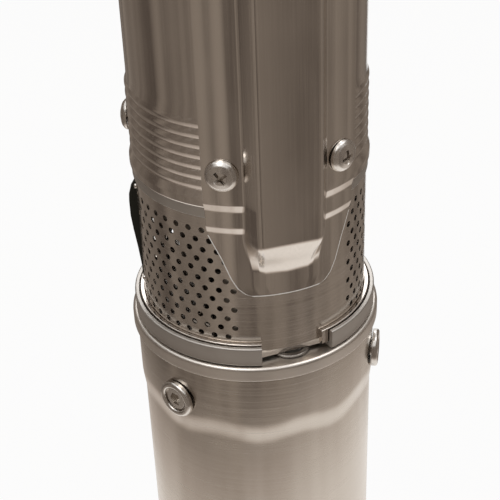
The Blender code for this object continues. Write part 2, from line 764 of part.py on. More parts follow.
def make_motor_inside():
    """Stator, windings, rotor and bearings."""
    outer = CASING_BORE - GAP
    bore = running_bore(ROTOR_RADIUS) + AIR_GAP
    stack = ring_profile(outer, bore, STATOR_BOTTOM, STATOR_TOP)
    iron(turned("stator_core", stack, INNER_SIDES))
    low = STATOR_BOTTOM - GAP - WINDING_HEIGHT
    for name, bottom in (("winding_lower", low), ("winding_upper", STATOR_TOP + GAP)):
        top = bottom + WINDING_HEIGHT
        middle = (WINDING_RADIUS + WINDING_BORE) / 2
        away = top if name == "winding_upper" else bottom
        near = bottom if name == "winding_upper" else top
        inset = math.copysign(WINDING_CHAMFER, near - away)
        profile = [
            (WINDING_RADIUS, near),
            (WINDING_RADIUS, away + inset),
            (middle, away),
            (WINDING_BORE, away + inset),
            (WINDING_BORE, near),
        ]
        if name == "winding_upper":
            profile.reverse()
        copper(turned(name, profile, INNER_SIDES))
    iron(turned("rotor_core", ring_profile(ROTOR_RADIUS, ROTOR_SEAT_RADIUS + GAP,
                                           STATOR_BOTTOM - ROTOR_OVERHANG, STATOR_TOP + ROTOR_OVERHANG),
                INNER_SIDES))
    ring = ring_profile(BEARING_RADIUS, running_bore(MOTOR_SHAFT_RADIUS), 0.0, BEARING_HEIGHT)
    seat_top = MOTOR_HEIGHT - SEAL_CHAMBER_BOTTOM
    bright_steel(turned("motor_upper_bearing", ring, INNER_SIDES, seat_top - GAP - BEARING_HEIGHT))
    lower_seat = LOWER_BRACKET_HEIGHT + LOWER_BRACKET_FLOOR + GAP
    bright_steel(turned("motor_thrust_bearing", ring, INNER_SIDES, lower_seat))


def make_motor_shaft():
    bearing_top = LOWER_BRACKET_HEIGHT + LOWER_BRACKET_FLOOR + GAP + BEARING_HEIGHT
    collar_top = bearing_top + ROTOR_COLLAR_HEIGHT
    upper_seat = MOTOR_HEIGHT - SEAL_CHAMBER_BOTTOM - 2 * GAP - BEARING_HEIGHT
    spline_top = MOTOR_HEIGHT + SPLINE_HEIGHT
    profile = [
        (0.0, spline_top),
        (SPLINE_RADIUS - SHAFT_CHAMFER, spline_top),
        (SPLINE_RADIUS, spline_top - SHAFT_CHAMFER),
        (SPLINE_RADIUS, MOTOR_HEIGHT - SHAFT_CHAMFER),
        (MOTOR_SHAFT_RADIUS, MOTOR_HEIGHT - SHAFT_CHAMFER),
        (MOTOR_SHAFT_RADIUS, upper_seat),
        (ROTOR_SEAT_RADIUS, upper_seat),
        (ROTOR_SEAT_RADIUS, collar_top),
        (ROTOR_SEAT_RADIUS + ROTOR_COLLAR_STEP, collar_top),
        (ROTOR_SEAT_RADIUS + ROTOR_COLLAR_STEP, bearing_top + GAP),
        (MOTOR_SHAFT_RADIUS, bearing_top + GAP),
        (MOTOR_SHAFT_RADIUS, LOWER_BRACKET_HEIGHT + SHAFT_FOOT),
        (0.0, LOWER_BRACKET_HEIGHT + SHAFT_FOOT),
    ]
    return bright_steel(turned("motor_shaft", profile, INNER_SIDES))


def make_seal():
    """Mechanical seal: still seat at the top of its chamber, turning ring and bellows below."""
    bore = MOTOR_SHAFT_RADIUS + GAP
    seat_bore = running_bore(MOTOR_SHAFT_RADIUS)
    seat_bottom = MOTOR_HEIGHT - SEAL_CHAMBER_TOP - GAP - SEAL_PART_HEIGHT
    ring = SEAL_RADIUS - SEAL_RING_INSET
    ceramic(turned("seal_seat", ring_profile(SEAL_RADIUS, seat_bore, seat_bottom,
                                             seat_bottom + SEAL_PART_HEIGHT), INNER_SIDES))
    ring_bottom = seat_bottom - GAP - SEAL_PART_HEIGHT
    ceramic(turned("seal_ring", ring_profile(ring, bore, ring_bottom,
                                             ring_bottom + SEAL_PART_HEIGHT), INNER_SIDES))
    bellows_top = ring_bottom - GAP
    bellows_bottom = MOTOR_HEIGHT - SEAL_CHAMBER_BOTTOM + BELLOWS_CLEARANCE
    middle = (bellows_top + bellows_bottom) / 2
    profile = [
        (ring, bellows_top),
        (ring - SEAL_RING_INSET, middle),
        (ring, bellows_bottom),
        (bore, bellows_bottom),
        (bore, bellows_top),
    ]
    rubber(turned("seal_bellows", profile, INNER_SIDES))


def make_sand_slinger():
    """Rubber disc on the shaft that covers the seal's bore."""
    bore = SPLINE_RADIUS + GAP
    profile = [
        (SLINGER_RADIUS - SLINGER_EDGE, SLINGER_TOP),
        (SLINGER_RADIUS, SLINGER_TOP - SLINGER_EDGE),
        (SLINGER_RADIUS, SLINGER_LIFT),
        (SLINGER_RADIUS - SLINGER_WALL, SLINGER_LIFT),
        (SLINGER_RADIUS - SLINGER_WALL, SLINGER_TOP - SLINGER_DISC),
        (bore, SLINGER_TOP - SLINGER_DISC),
        (bore, SLINGER_TOP),
    ]
    rubber(turned("sand_slinger", profile, INNER_SIDES, MOTOR_HEIGHT))


def guard_angle(width):
    """Degrees round the pump that a width along the shell's band takes."""
    return math.degrees(width / GUARD_OVER_BAND)


def guard_screw_places(radius, heights):
    angles = (-guard_angle(GUARD_SCREW_OFFSET), guard_angle(GUARD_SCREW_OFFSET))
    return [outward(angle, radius, height) for height in heights for angle in angles]


def lock_screw_places(radius):
    height = SEAM + GUARD_SCREW_HEIGHT
    return [outward(angle, radius, height) for angle in (-LOCK_SCREW_ANGLE, LOCK_SCREW_ANGLE)]


def make_suction_bracket():
    """Flange on the motor, windowed wall behind the strainer, ring under the shell, spigot in it."""
    flange_bottom = GAP
    wall_bore = BRACKET_RADIUS - BRACKET_SHEET
    spigot_bore = SPIGOT_RADIUS - SPIGOT_WALL
    rim_bore = FLANGE_RADIUS - FLANGE_RIM_WALL
    plate_bottom = SPIGOT_HEIGHT - SPIGOT_PLATE
    profile = [
        (SPIGOT_RADIUS, SPIGOT_HEIGHT),
        (SPIGOT_RADIUS, SEAM_HEIGHT),
        (RING_RADIUS, SEAM_HEIGHT),
        (RING_RADIUS, RING_BOTTOM),
        (BRACKET_RADIUS, RING_BOTTOM),
        (BRACKET_RADIUS, FLANGE_GROOVE),
        (rim_bore, FLANGE_GROOVE),
        (rim_bore, FLANGE_RIM_TOP),
        (FLANGE_RADIUS, FLANGE_RIM_TOP),
        (FLANGE_RADIUS, flange_bottom),
        (FLANGE_BORE, flange_bottom),
        (FLANGE_BORE, FLANGE_THICK),
        (wall_bore, FLANGE_THICK),
        (wall_bore, WINDOW_TOP),
        (spigot_bore, WINDOW_TOP + WINDOW_CONE),
        (spigot_bore, plate_bottom - SPIGOT_CONE),
        (EYE_RADIUS, plate_bottom),
        (EYE_RADIUS, SPIGOT_HEIGHT),
    ]
    bracket = cast_steel(turned("suction_bracket", profile, height=MOTOR_HEIGHT))
    low = MOTOR_HEIGHT + FLANGE_THICK
    high = MOTOR_HEIGHT + WINDOW_TOP
    near = wall_bore - OVERCUT
    far = BRACKET_RADIUS + SCREEN_CLEARANCE
    windows = [
        sector_mesh("window", start, end, near, far, low, high, WINDOW_STEPS) for start, end in WINDOW_SPANS
    ]
    combine(bracket, "windows", grouped("windows", windows, [Matrix.Identity(4)]))
    notch = sector_mesh("flange_notch", NOTCH_START, NOTCH_END, NOTCH_DEPTH, FLANGE_RADIUS + OVERCUT,
                        MOTOR_HEIGHT - OVERCUT, MOTOR_HEIGHT + SCREEN_RING_TOP, NOTCH_STEPS)
    combine(bracket, "flange_notch", notch)
    drill(bracket, "flange_stud_holes", STUD_RADIUS + GAP, -OVERCUT, FLANGE_THICK + OVERCUT,
          stud_places(MOTOR_HEIGHT))
    height = SEAM + GUARD_SCREW_HEIGHT
    drill(bracket, "spigot_screw_holes", SCREW_HOLE_RADIUS, -SPIGOT_WALL - OVERCUT, OVERCUT,
          guard_screw_places(SHELL_RADIUS, (height,)) + lock_screw_places(SHELL_RADIUS))


def make_flange_studs():
    """Four studs in the motor's casting and the nuts on the pump's flange."""
    rod = rod_mesh("stud", STUD_RADIUS, -STUD_DEPTH, FLANGE_THICK + NUT_HEIGHT + STUD_PROUD, STUD_SIDES)
    repeated("flange_stud", rod, stud_places(MOTOR_HEIGHT), bright_steel)
    corner = NUT_FLATS / 2 / math.cos(math.radians(30))
    nut = part_from("stud_nut", rod_mesh("stud_nut", corner, GAP, NUT_HEIGHT, 6))
    thread = rod_mesh("nut_thread", STUD_RADIUS + GAP, -OVERCUT, NUT_HEIGHT + OVERCUT, STUD_SIDES)
    combine(nut, "nut_thread", thread)
    mesh = baked(nut)
    mesh.transform(Matrix.Rotation(math.radians(30), 4, "Z"))
    repeated("stud_nut", mesh, stud_places(MOTOR_HEIGHT + FLANGE_THICK), bright_steel)


def closing_reach(height):
    """How far the screen's turned-out end stands proud at a height."""
    share = min(1.0, max(0.0, (height - FIRST_ROW) / (CLOSING_TAPER - FIRST_ROW)))
    return CLOSING_FOOT + (CLOSING_HEIGHT - CLOSING_FOOT) * share


def screen_row(sheet, height, shifted, reach):
    """One row of lattice points round the screen, from one closing end to the other."""
    end_gap = math.degrees((2 * SCREEN_SHEET + GAP) / SCREEN_RADIUS)
    span = 360.0 - end_gap
    pitch = span / HOLE_COLUMNS
    shares = [column * pitch for column in range(HOLE_COLUMNS + 1)]
    if shifted:
        shares = [0.0] + [(column + 0.5) * pitch for column in range(HOLE_COLUMNS)] + [span]
    start = CLOSING_ANGLE + end_gap / 2
    places = [(share, SCREEN_RADIUS, share) for share in shares]
    if reach > 0.0:
        places.insert(0, (0.0, SCREEN_RADIUS + reach, -1.0))
        places.append((span, SCREEN_RADIUS + reach, span + 1.0))
    row = []
    for share, radius, order in places:
        x, y = arc(radius, start + share, start + share, 1)[0]
        row.append((order, sheet.verts.new((x, y, height))))
    return row


def zip_rows(sheet, low, high):
    """Fills the strip between two rows with triangles."""
    first, second = 0, 0
    while first < len(low) - 1 or second < len(high) - 1:
        next_low = low[first + 1][0] if first < len(low) - 1 else math.inf
        next_high = high[second + 1][0] if second < len(high) - 1 else math.inf
        if next_low <= next_high:
            sheet.faces.new((low[first][1], low[first + 1][1], high[second][1]))
            first += 1
        else:
            sheet.faces.new((low[first][1], high[second + 1][1], high[second][1]))
            second += 1


def make_strainer_screen():
    """Perforated sheet wrapped round the bracket, its two ends turned out side by side."""
    sheet = bmesh.new()
    row_heights = [FIRST_ROW + row * ROW_PITCH for row in range(HOLE_ROWS)]
    rows = [screen_row(sheet, SCREEN_BOTTOM, False, 0.0)]
    rows.append(screen_row(sheet, CLOSING_START, False, closing_reach(0.0)))
    for number, height in enumerate(row_heights):
        rows.append(screen_row(sheet, height, number % 2 == 0, closing_reach(height)))
    rows.append(screen_row(sheet, SCREEN_TOP, False, CLOSING_HEIGHT))
    zip_rows(sheet, rows[0], rows[1][1:-1])
    for low, high in zip(rows[1:], rows[2:]):
        zip_rows(sheet, low, high)
    holes = []
    for row in rows[2:-1]:
        for share, vertex in row:
            angle = math.degrees(math.atan2(vertex.co.x, -vertex.co.y))
            near_end = share < CLOSING_MARGIN or share > 360.0 - CLOSING_MARGIN
            if abs(angle) > PLAIN_HALF_ANGLE and not near_end:
                holes.append(vertex)
    centres = [vertex.co.copy() for vertex in holes]
    bmesh.ops.bevel(sheet, geom=holes, offset=HOLE_RADIUS, segments=1, affect="VERTICES")
    openings = []
    for face in sheet.faces:
        middle = face.calc_center_median()
        centre = min(centres, key=lambda place: (place - middle).length)
        if max((vertex.co - centre).length for vertex in face.verts) < HOLE_RADIUS * 1.2:
            openings.append(face)
    bmesh.ops.delete(sheet, geom=openings, context="FACES")
    bmesh.ops.recalc_face_normals(sheet, faces=sheet.faces)
    mesh = bpy.data.meshes.new("strainer_screen")
    sheet.to_mesh(mesh)
    sheet.free()
    screen = part_from("strainer_screen", smoothed(mesh), (0.0, 0.0, MOTOR_HEIGHT))
    wall = screen.modifiers.new("Sheet", "SOLIDIFY")
    wall.thickness = SCREEN_SHEET
    wall.offset = -1.0
    wall.use_even_offset = True
    brushed_steel(screen)


def make_strainer_ring():
    """Split ring round the screen's lower edge, inside the flange's rim."""
    end = NOTCH_START + 360.0
    mesh = sector_mesh("strainer_ring", SCREEN_RING_START, end, SCREEN_RING_BORE, SCREEN_RING_RADIUS,
                       MOTOR_HEIGHT + FLANGE_GROOVE + GAP, MOTOR_HEIGHT + SCREEN_RING_TOP, BODY_SIDES)
    brushed_steel(part_from("strainer_ring", mesh))


def shell_end(seam, up, ribs):
    """Skin of one shell end, from its seam inwards: band and rolled ribs; up is 1 or -1."""
    points = [(BAND_RADIUS - BAND_EDGE, seam + up * GAP)]
    points.append((BAND_RADIUS, seam + up * (GAP + BAND_EDGE)))
    points.append((BAND_RADIUS, seam + up * BAND_HEIGHT))
    root = SHELL_RADIUS + RIB_ROOT
    points.append((root, seam + up * (FIRST_RIB - RIB_RUN_IN)))
    for rib in range(ribs):
        crest = FIRST_RIB + rib * RIB_PITCH
        points.append((RIB_RADIUS, seam + up * crest))
        points.append((root, seam + up * (crest + RIB_PITCH / 2)))
    return points


def make_pump_shell():
    """Thin tube with a flared band and rolled ribs at both ends."""
    outer = shell_end(TOP_SEAM, -1, TOP_RIB_COUNT) + shell_end(SEAM, 1, RIB_COUNT)[::-1]
    flare = BAND_RADIUS - SHELL_WALL
    flare_end = BAND_HEIGHT - SHELL_WALL
    inner = [
        (flare, SEAM + GAP),
        (flare, SEAM + flare_end),
        (SHELL_BORE, SEAM + BAND_HEIGHT),
        (SHELL_BORE, TOP_SEAM - BAND_HEIGHT),
        (flare, TOP_SEAM - flare_end),
        (flare, TOP_SEAM - GAP),
    ]
    shell = brushed_steel(turned("pump_shell", outer + inner))
    heights = (SEAM + GUARD_SCREW_HEIGHT, TOP_SEAM - GUARD_SCREW_HEIGHT)
    places = guard_screw_places(SHELL_RADIUS, heights) + lock_screw_places(SHELL_RADIUS)
    drill(shell, "shell_screw_holes", SCREW_HOLE_RADIUS, -OVERCUT, OVERCUT, places)


def make_o_rings():
    """Rubber rings under the shell's flared bands."""
    middle = (SPIGOT_RADIUS + BAND_RADIUS - SHELL_WALL) / 2
    profile = [
        (middle + O_RING_SECTION, 0.0),
        (middle - O_RING_SECTION / 2, -O_RING_SECTION),
        (middle - O_RING_SECTION / 2, O_RING_SECTION),
    ]
    rubber(turned("lower_o_ring", profile, height=SEAM + O_RING_HEIGHT))
    rubber(turned("upper_o_ring", profile, height=TOP_SEAM - O_RING_HEIGHT))


def bowl_mesh():
    """One stage bowl: wall, and a web with flow slots under the next stage's eye."""
    height = STAGE_PITCH - GAP
    web = height - BOWL_WEB
    bore = running_bore(HUB_RADIUS)
    profile = [
        (SPIGOT_RADIUS, height),
        (SPIGOT_RADIUS, 0.0),
        (SPIGOT_RADIUS - BOWL_WALL, 0.0),
        (SPIGOT_RADIUS - BOWL_WALL, web),
        (bore, web),
        (bore, height),
    ]
    bowl = part_from("bowl", turned_mesh("bowl", profile, INNER_SIDES))
    places = [upright(index * 360 / BOWL_SLOTS, BOWL_SLOT_CIRCLE, 0.0) for index in range(BOWL_SLOTS)]
    slot = rod_mesh("bowl_slots", BOWL_SLOT_RADIUS, web - OVERCUT, height + OVERCUT, HOLE_SIDES)
    combine(bowl, "bowl_slots", grouped("bowl_slots", [slot], places))
    return baked(bowl)


def impeller_mesh():
    """One closed impeller: eye, shrouds with radial passages between the vanes, long hub."""
    height = STAGE_PITCH - GAP
    bore = PUMP_SHAFT_RADIUS + GAP
    profile = [
        (HUB_RADIUS, height),
        (HUB_RADIUS, IMPELLER_BACK),
        (IMPELLER_RADIUS, IMPELLER_RIM_TOP),
        (IMPELLER_RADIUS, IMPELLER_RIM_BOTTOM),
        (IMPELLER_EYE, IMPELLER_FRONT),
        (IMPELLER_EYE, IMPELLER_MOUTH),
        (IMPELLER_EYE - EYE_WALL, IMPELLER_MOUTH),
        (IMPELLER_EYE - EYE_WALL - EYE_DRAFT, IMPELLER_WEB),
        (HUB_RADIUS, IMPELLER_WEB),
        (HUB_RADIUS, 0.0),
        (bore, 0.0),
        (bore, height),
    ]
    impeller = part_from("impeller", turned_mesh("impeller", profile, INNER_SIDES))
    box = bmesh.new()
    bmesh.ops.create_cube(box, size=1.0)
    passage = bpy.data.meshes.new("passage")
    box.to_mesh(passage)
    box.free()
    middle = (IMPELLER_EYE + IMPELLER_RADIUS) / 2
    length = IMPELLER_RADIUS - IMPELLER_EYE + 2 * OVERCUT
    passage.transform(Matrix.Diagonal((PASSAGE_WIDTH, length, PASSAGE_HEIGHT, 1.0)))
    places = [upright(index * 360 / IMPELLER_VANES, middle, PASSAGE_MIDDLE) for index in range(IMPELLER_VANES)]
    combine(impeller, "impeller_passages", grouped("impeller_passages", [passage], places))
    return baked(impeller)


def make_stages():
    """Bowls stacked in the shell and impellers stacked on the shaft."""
    bowl = bowl_mesh()
    impeller = impeller_mesh()
    turning = []
    for stage in range(STAGE_COUNT):
        place = (0.0, 0.0, STAGES_BOTTOM + stage * STAGE_PITCH)
        brushed_steel(part_from(f"stage_bowl_{stage + 1}", bowl.copy(), place))
        turning.append(brushed_steel(part_from(f"impeller_{stage + 1}", impeller.copy(), place)))
    return turning


def make_top_spider():
    """Disc over the last bowl that carries the top bearing."""
    bore = TOP_BEARING_RADIUS + GAP
    profile = ring_profile(SPIGOT_RADIUS, bore, 0.0, SPIDER_HEIGHT)
    spider = cast_steel(turned("top_spider", profile, INNER_SIDES, SPIDER_BOTTOM))
    slot = rod_mesh("spider_slots", SPIDER_SLOT_RADIUS, -OVERCUT, SPIDER_HEIGHT + OVERCUT, HOLE_SIDES)
    step = 360 / BOWL_SLOTS
    places = [upright(index * step, SPIDER_SLOT_CIRCLE, SPIDER_BOTTOM) for index in range(BOWL_SLOTS)]
    combine(spider, "spider_slots", grouped("spider_slots", [slot], places))
    bush = ring_profile(TOP_BEARING_RADIUS, running_bore(PUMP_SHAFT_RADIUS), GAP, SPIDER_HEIGHT)
    rubber(turned("top_bearing", bush, INNER_SIDES, SPIDER_BOTTOM))


def make_pump_shaft():
    """Shaft from the coupling to the nut over the last impeller."""
    bottom = MOTOR_HEIGHT + SPLINE_HEIGHT + GAP
    top = SPIDER_BOTTOM + SPIDER_HEIGHT + GAP + NUT_LENGTH + SHAFT_END
    shoulder_top = STAGES_BOTTOM - GAP
    profile = [
        (0.0, top),
        (PUMP_SHAFT_RADIUS, top),
        (PUMP_SHAFT_RADIUS, shoulder_top),
        (HUB_RADIUS, shoulder_top),
        (HUB_RADIUS, SHOULDER_BOTTOM),
        (PUMP_SHAFT_RADIUS, SHOULDER_BOTTOM),
        (PUMP_SHAFT_RADIUS, bottom),
        (0.0, bottom),
    ]
    shaft = bright_steel(turned("pump_shaft", profile, INNER_SIDES))
    nut_bottom = SPIDER_BOTTOM + SPIDER_HEIGHT + GAP
    nut = bright_steel(part_from("shaft_nut", rod_mesh("shaft_nut", NUT_RADIUS, 0.0, NUT_LENGTH, 6),
                                 (0.0, 0.0, nut_bottom)))
    thread = rod_mesh("shaft_nut_thread", PUMP_SHAFT_RADIUS + GAP, nut_bottom - OVERCUT,
                      nut_bottom + NUT_LENGTH + OVERCUT, INNER_SIDES)
    combine(nut, "shaft_nut_thread", thread)
    return [shaft, nut]


def make_coupling():
    """Sleeve over the motor's spline and the foot of the pump shaft."""
    joint = MOTOR_HEIGHT + SPLINE_HEIGHT + GAP / 2
    bottom = MOTOR_HEIGHT + COUPLING_BOTTOM
    top = SHOULDER_BOTTOM - COUPLING_CLEARANCE
    profile = [
        (COUPLING_RADIUS - COUPLING_EDGE, top),
        (COUPLING_RADIUS, top - COUPLING_EDGE),
        (COUPLING_RADIUS, bottom),
        (SPLINE_RADIUS + GAP, bottom),
        (SPLINE_RADIUS + GAP, joint),
        (PUMP_SHAFT_RADIUS + GAP, joint),
        (PUMP_SHAFT_RADIUS + GAP, top),
    ]
    return bright_steel(turned("shaft_coupling", profile, INNER_SIDES))


def guard_levels():
    """Stations down the guard: height, flange radius, half width, height of the channel."""
    pocket_middle = (POCKET_TOP + POCKET_BOTTOM) / 2
    top = TOP_SEAM + GUARD_TOP - MOTOR_HEIGHT
    return [
        (top, GUARD_OVER_BAND, GUARD_TOP_WIDTH, 1.0),
        (top - GUARD_CHAMFER, GUARD_OVER_BAND, GUARD_WIDTH, 1.0),
        (SEAM_HEIGHT, GUARD_OVER_BAND, GUARD_WIDTH, 1.0),
        (JOGGLE_UPPER, GUARD_OVER_RING, GUARD_WIDTH, 1.0),
        (JOGGLE_LOWER_TOP, GUARD_OVER_RING, GUARD_WIDTH, 1.0),
        (JOGGLE_LOWER_BOTTOM, GUARD_OVER_SCREEN, GUARD_WIDTH, 1.0),
        (POCKET_TOP, GUARD_OVER_SCREEN, GUARD_SHOULDER_WIDTH, 1.0),
        (pocket_middle, GUARD_OVER_SCREEN, GUARD_POCKET_WIDTH, POCKET_MIDDLE_RISE),
        (POCKET_BOTTOM, GUARD_OVER_SCREEN, GUARD_POCKET_END_WIDTH, 0.0),
        (GUARD_WAIST, GUARD_OVER_SCREEN, GUARD_WAIST_WIDTH, 0.0),
        (GUARD_TOE, GUARD_OVER_SCREEN, GUARD_TOE_WIDTH, 0.0),
        (GUARD_BOTTOM, GUARD_OVER_SCREEN, GUARD_TIP_WIDTH, 0.0),
    ]


def guard_section(level, half_angle, rise):
    """Half of the guard's hat section, from its middle to its flange's edge, as (x, y) points."""
    whole_foot = guard_angle(GUARD_FOOT_WIDTH)
    foot_angle = min(whole_foot, half_angle * GUARD_FOOT_SHARE)
    narrow = foot_angle / whole_foot
    raised = [
        (0.0, GUARD_FRONT),
        (GUARD_FACE * narrow, GUARD_FRONT),
        (GUARD_CORNER * narrow, GUARD_FRONT - GUARD_CORNER_DROP),
        (GUARD_WALL_FOOT * narrow, level - GUARD_FOOT_DROP),
    ]
    points = []
    for x, front in raised:
        base = math.sqrt(level * level - x * x)
        points.append((x, -(base + (max(front, base) - base) * rise)))
    for angle in (foot_angle, (foot_angle + half_angle) / 2, half_angle):
        points.append(arc(level, angle, angle, 1)[0])
    return points


def make_cable_guard():
    """Sheet-metal channel over the cable, lofted through its stations and mirrored."""
    sheet = bmesh.new()
    rows = []
    for height, level, half_width, rise in guard_levels():
        section = guard_section(level, guard_angle(half_width), rise)
        rows.append([sheet.verts.new((x, y, MOTOR_HEIGHT + height)) for x, y in section])
    for upper, lower in zip(rows, rows[1:]):
        for index in range(len(upper) - 1):
            sheet.faces.new((upper[index], lower[index], lower[index + 1], upper[index + 1]))
    mesh = bpy.data.meshes.new("cable_guard")
    sheet.to_mesh(mesh)
    sheet.free()
    guard = part_from("cable_guard", mesh)
    mirror = guard.modifiers.new("Mirror", "MIRROR")
    mirror.use_clip = True
    mirror.merge_threshold = 0.00001
    wall = guard.modifiers.new("Sheet", "SOLIDIFY")
    wall.thickness = GUARD_SHEET
    wall.offset = -1.0
    wall.use_even_offset = True
    heights = (SEAM + GUARD_SCREW_HEIGHT, TOP_SEAM - GUARD_SCREW_HEIGHT)
    drill(guard, "guard_screw_holes", SCREW_HOLE_RADIUS, -OVERCUT, OVERCUT,
          guard_screw_places(GUARD_OVER_BAND, heights))
    brushed_steel(guard)


def pan_screw_mesh(length):
    """Pan-head screw."""
    profile = [(across * PAN_HEAD_RADIUS, up * PAN_HEAD_THICK) for across, up in PAN_HEAD_DOME]
    profile += [(PAN_SHANK_RADIUS, 0.0), (PAN_SHANK_RADIUS, -length), (0.0, -length)]
    return turned_mesh("pan_screw", profile, SMALL_SIDES)


def make_pan_screws():
    """Screws of the guard at its foot and top, and the two that lock the shell."""
    seat = GUARD_OVER_BAND + GAP
    guard_screw = pan_screw_mesh(seat - SPIGOT_RADIUS + PAN_SHANK_PROUD)
    heights = (SEAM + GUARD_SCREW_HEIGHT, TOP_SEAM - GUARD_SCREW_HEIGHT)
    repeated("guard_screw", guard_screw, guard_screw_places(seat, heights), bright_steel)
    lock_seat = RIB_RADIUS + GAP
    lock_screw = pan_screw_mesh(lock_seat - SPIGOT_RADIUS + PAN_SHANK_PROUD)
    repeated("shell_lock_screw", lock_screw, lock_screw_places(lock_seat), bright_steel)


def seat_line(radius):
    """Height of the valve's conical seat at a radius."""
    return SEAT_HEIGHT + (radius - THROAT_RADIUS) * SEAT_SLOPE


def eyelet_mesh(side):
    """Upright lug with a hole for the rope."""
    low = HEAD_CONE_BOTTOM - EYELET_SINK
    root = HEAD_NECK_RADIUS - EYELET_ROOT
    outline = [(root, low), (EYELET_PLACE + EYELET_TIP, low)]
    for step in range(5):
        angle = math.radians(step * 30)
        across = EYELET_PLACE + EYELET_TIP * math.cos(angle)
        outline.append((across, EYELET_HEIGHT + EYELET_TIP * math.sin(angle)))
    outline.append((HEAD_NECK_RADIUS + GAP, SOCKET_BOTTOM + EYELET_SHOULDER))
    outline.append((HEAD_NECK_RADIUS + GAP, SOCKET_BOTTOM - GAP))
    outline.append((root, SOCKET_BOTTOM - GAP))
    mesh = plate_mesh("eyelet", outline, -EYELET_THICK / 2, EYELET_THICK / 2)
    stand = Matrix.Rotation(math.radians(90), 4, "X")
    turn = Matrix.Rotation(0.0 if side > 0 else math.pi, 4, "Z")
    mesh.transform(Matrix.Translation((0.0, 0.0, TOP_SEAM)) @ turn @ stand)
    return mesh


def make_discharge_head():
    """Casting on top of the shell: spigot, valve seat and chamber, cone, neck and two rope eyelets."""
    spigot_bore = SPIGOT_RADIUS - HEAD_SPIGOT_WALL
    profile = [
        (HEAD_NECK_RADIUS, SOCKET_BOTTOM - GAP),
        (HEAD_NECK_RADIUS, HEAD_CONE_TOP),
        (RING_RADIUS, HEAD_CONE_BOTTOM),
        (RING_RADIUS, 0.0),
        (SPIGOT_RADIUS, 0.0),
        (SPIGOT_RADIUS, -HEAD_SPIGOT),
        (spigot_bore, -HEAD_SPIGOT),
        (spigot_bore, SEAT_HEIGHT - HEAD_FUNNEL),
        (THROAT_RADIUS, SEAT_HEIGHT - THROAT_LENGTH),
        (THROAT_RADIUS, SEAT_HEIGHT),
        (CHAMBER_RADIUS, seat_line(CHAMBER_RADIUS)),
        (CHAMBER_RADIUS, CHAMBER_TOP),
        (SOCKET_BORE, CHAMBER_TOP),
        (SOCKET_BORE, SOCKET_BOTTOM - GAP),
    ]
    head = cast_steel(turned("discharge_head", profile, height=TOP_SEAM))
    for side, name in ((1, "eyelet_right"), (-1, "eyelet_left")):
        combine(head, name, eyelet_mesh(side), "UNION")
    hole = rod_mesh("eyelet_holes", EYELET_HOLE, -EYELET_THICK, EYELET_THICK, SMALL_SIDES)
    lay = Matrix.Rotation(math.radians(90), 4, "X")
    places = [Matrix.Translation((side * EYELET_PLACE, 0.0, TOP_SEAM + EYELET_HEIGHT)) @ lay for side in (1, -1)]
    combine(head, "eyelet_holes", grouped("eyelet_holes", [hole], places))
    places = guard_screw_places(SHELL_RADIUS, (TOP_SEAM - GUARD_SCREW_HEIGHT,))
    drill(head, "head_screw_holes", SCREW_HOLE_RADIUS, -SPIGOT_WALL - OVERCUT, OVERCUT, places)


def make_outlet_socket():
    """Hexagon socket for the riser pipe, let into the head's neck over the valve guide."""
    register = SOCKET_BORE - GAP
    profile = [
        (HEAD_NECK_RADIUS, HEAD_HEIGHT),
        (HEAD_NECK_RADIUS, SOCKET_BOTTOM),
        (register, SOCKET_BOTTOM),
        (register, CHAMBER_TOP + GAP),
        (OUTLET_RADIUS, CHAMBER_TOP + GAP),
        (OUTLET_RADIUS, HEAD_HEIGHT),
    ]
    socket = cast_steel(turned("outlet_socket", profile, height=TOP_SEAM))
    corner = HEX_FLATS / 2 / math.cos(math.radians(30))
    hex_top = TOP_SEAM + HEAD_HEIGHT - HEX_DROP
    hexagon = part_from("outlet_hexagon", rod_mesh("outlet_hexagon", corner, hex_top - HEX_HEIGHT, hex_top, 6))
    inside = rod_mesh("hexagon_bore", OUTLET_RADIUS + HEX_ROOT, TOP_SEAM, hex_top + OVERCUT, BODY_SIDES)
    combine(hexagon, "hexagon_bore", inside)
    combine(socket, "outlet_hexagon", baked(hexagon), "UNION")


def make_check_valve():
    """Guide in the top of the chamber, sprung poppet on the conical seat."""
    tip = THROAT_RADIUS - POPPET_TIP
    edge = seat_line(POPPET_RADIUS) + SEAT_CLEARANCE
    crown = edge + POPPET_THICK
    guide_top = CHAMBER_TOP - GAP
    guide_bottom = guide_top - GUIDE_THICK
    stem_top = guide_top + STEM_PROUD
    profile = [
        (0.0, stem_top),
        (STEM_RADIUS, stem_top),
        (STEM_RADIUS, crown),
        (POPPET_RADIUS, crown),
        (POPPET_RADIUS, edge),
        (tip, seat_line(tip) + SEAT_CLEARANCE),
        (0.0, seat_line(tip) + SEAT_CLEARANCE),
    ]
    poppet = bronze(turned("valve_poppet", profile, INNER_SIDES, TOP_SEAM))
    disc = ring_profile(CHAMBER_RADIUS - GAP, running_bore(STEM_RADIUS), guide_bottom, guide_top)
    guide = cast_steel(turned("valve_guide", disc, INNER_SIDES, TOP_SEAM))
    slot = rod_mesh("guide_slots", GUIDE_SLOT_RADIUS, guide_bottom - OVERCUT, guide_top + OVERCUT, HOLE_SIDES)
    step = 360 / GUIDE_SLOTS
    places = [upright((index + 0.5) * step, GUIDE_SLOT_CIRCLE, TOP_SEAM) for index in range(GUIDE_SLOTS)]
    combine(guide, "guide_slots", grouped("guide_slots", [slot], places))
    bright_steel(make_coil(crown + GAP + SPRING_WIRE, guide_bottom - GAP - SPRING_WIRE))
    return poppet


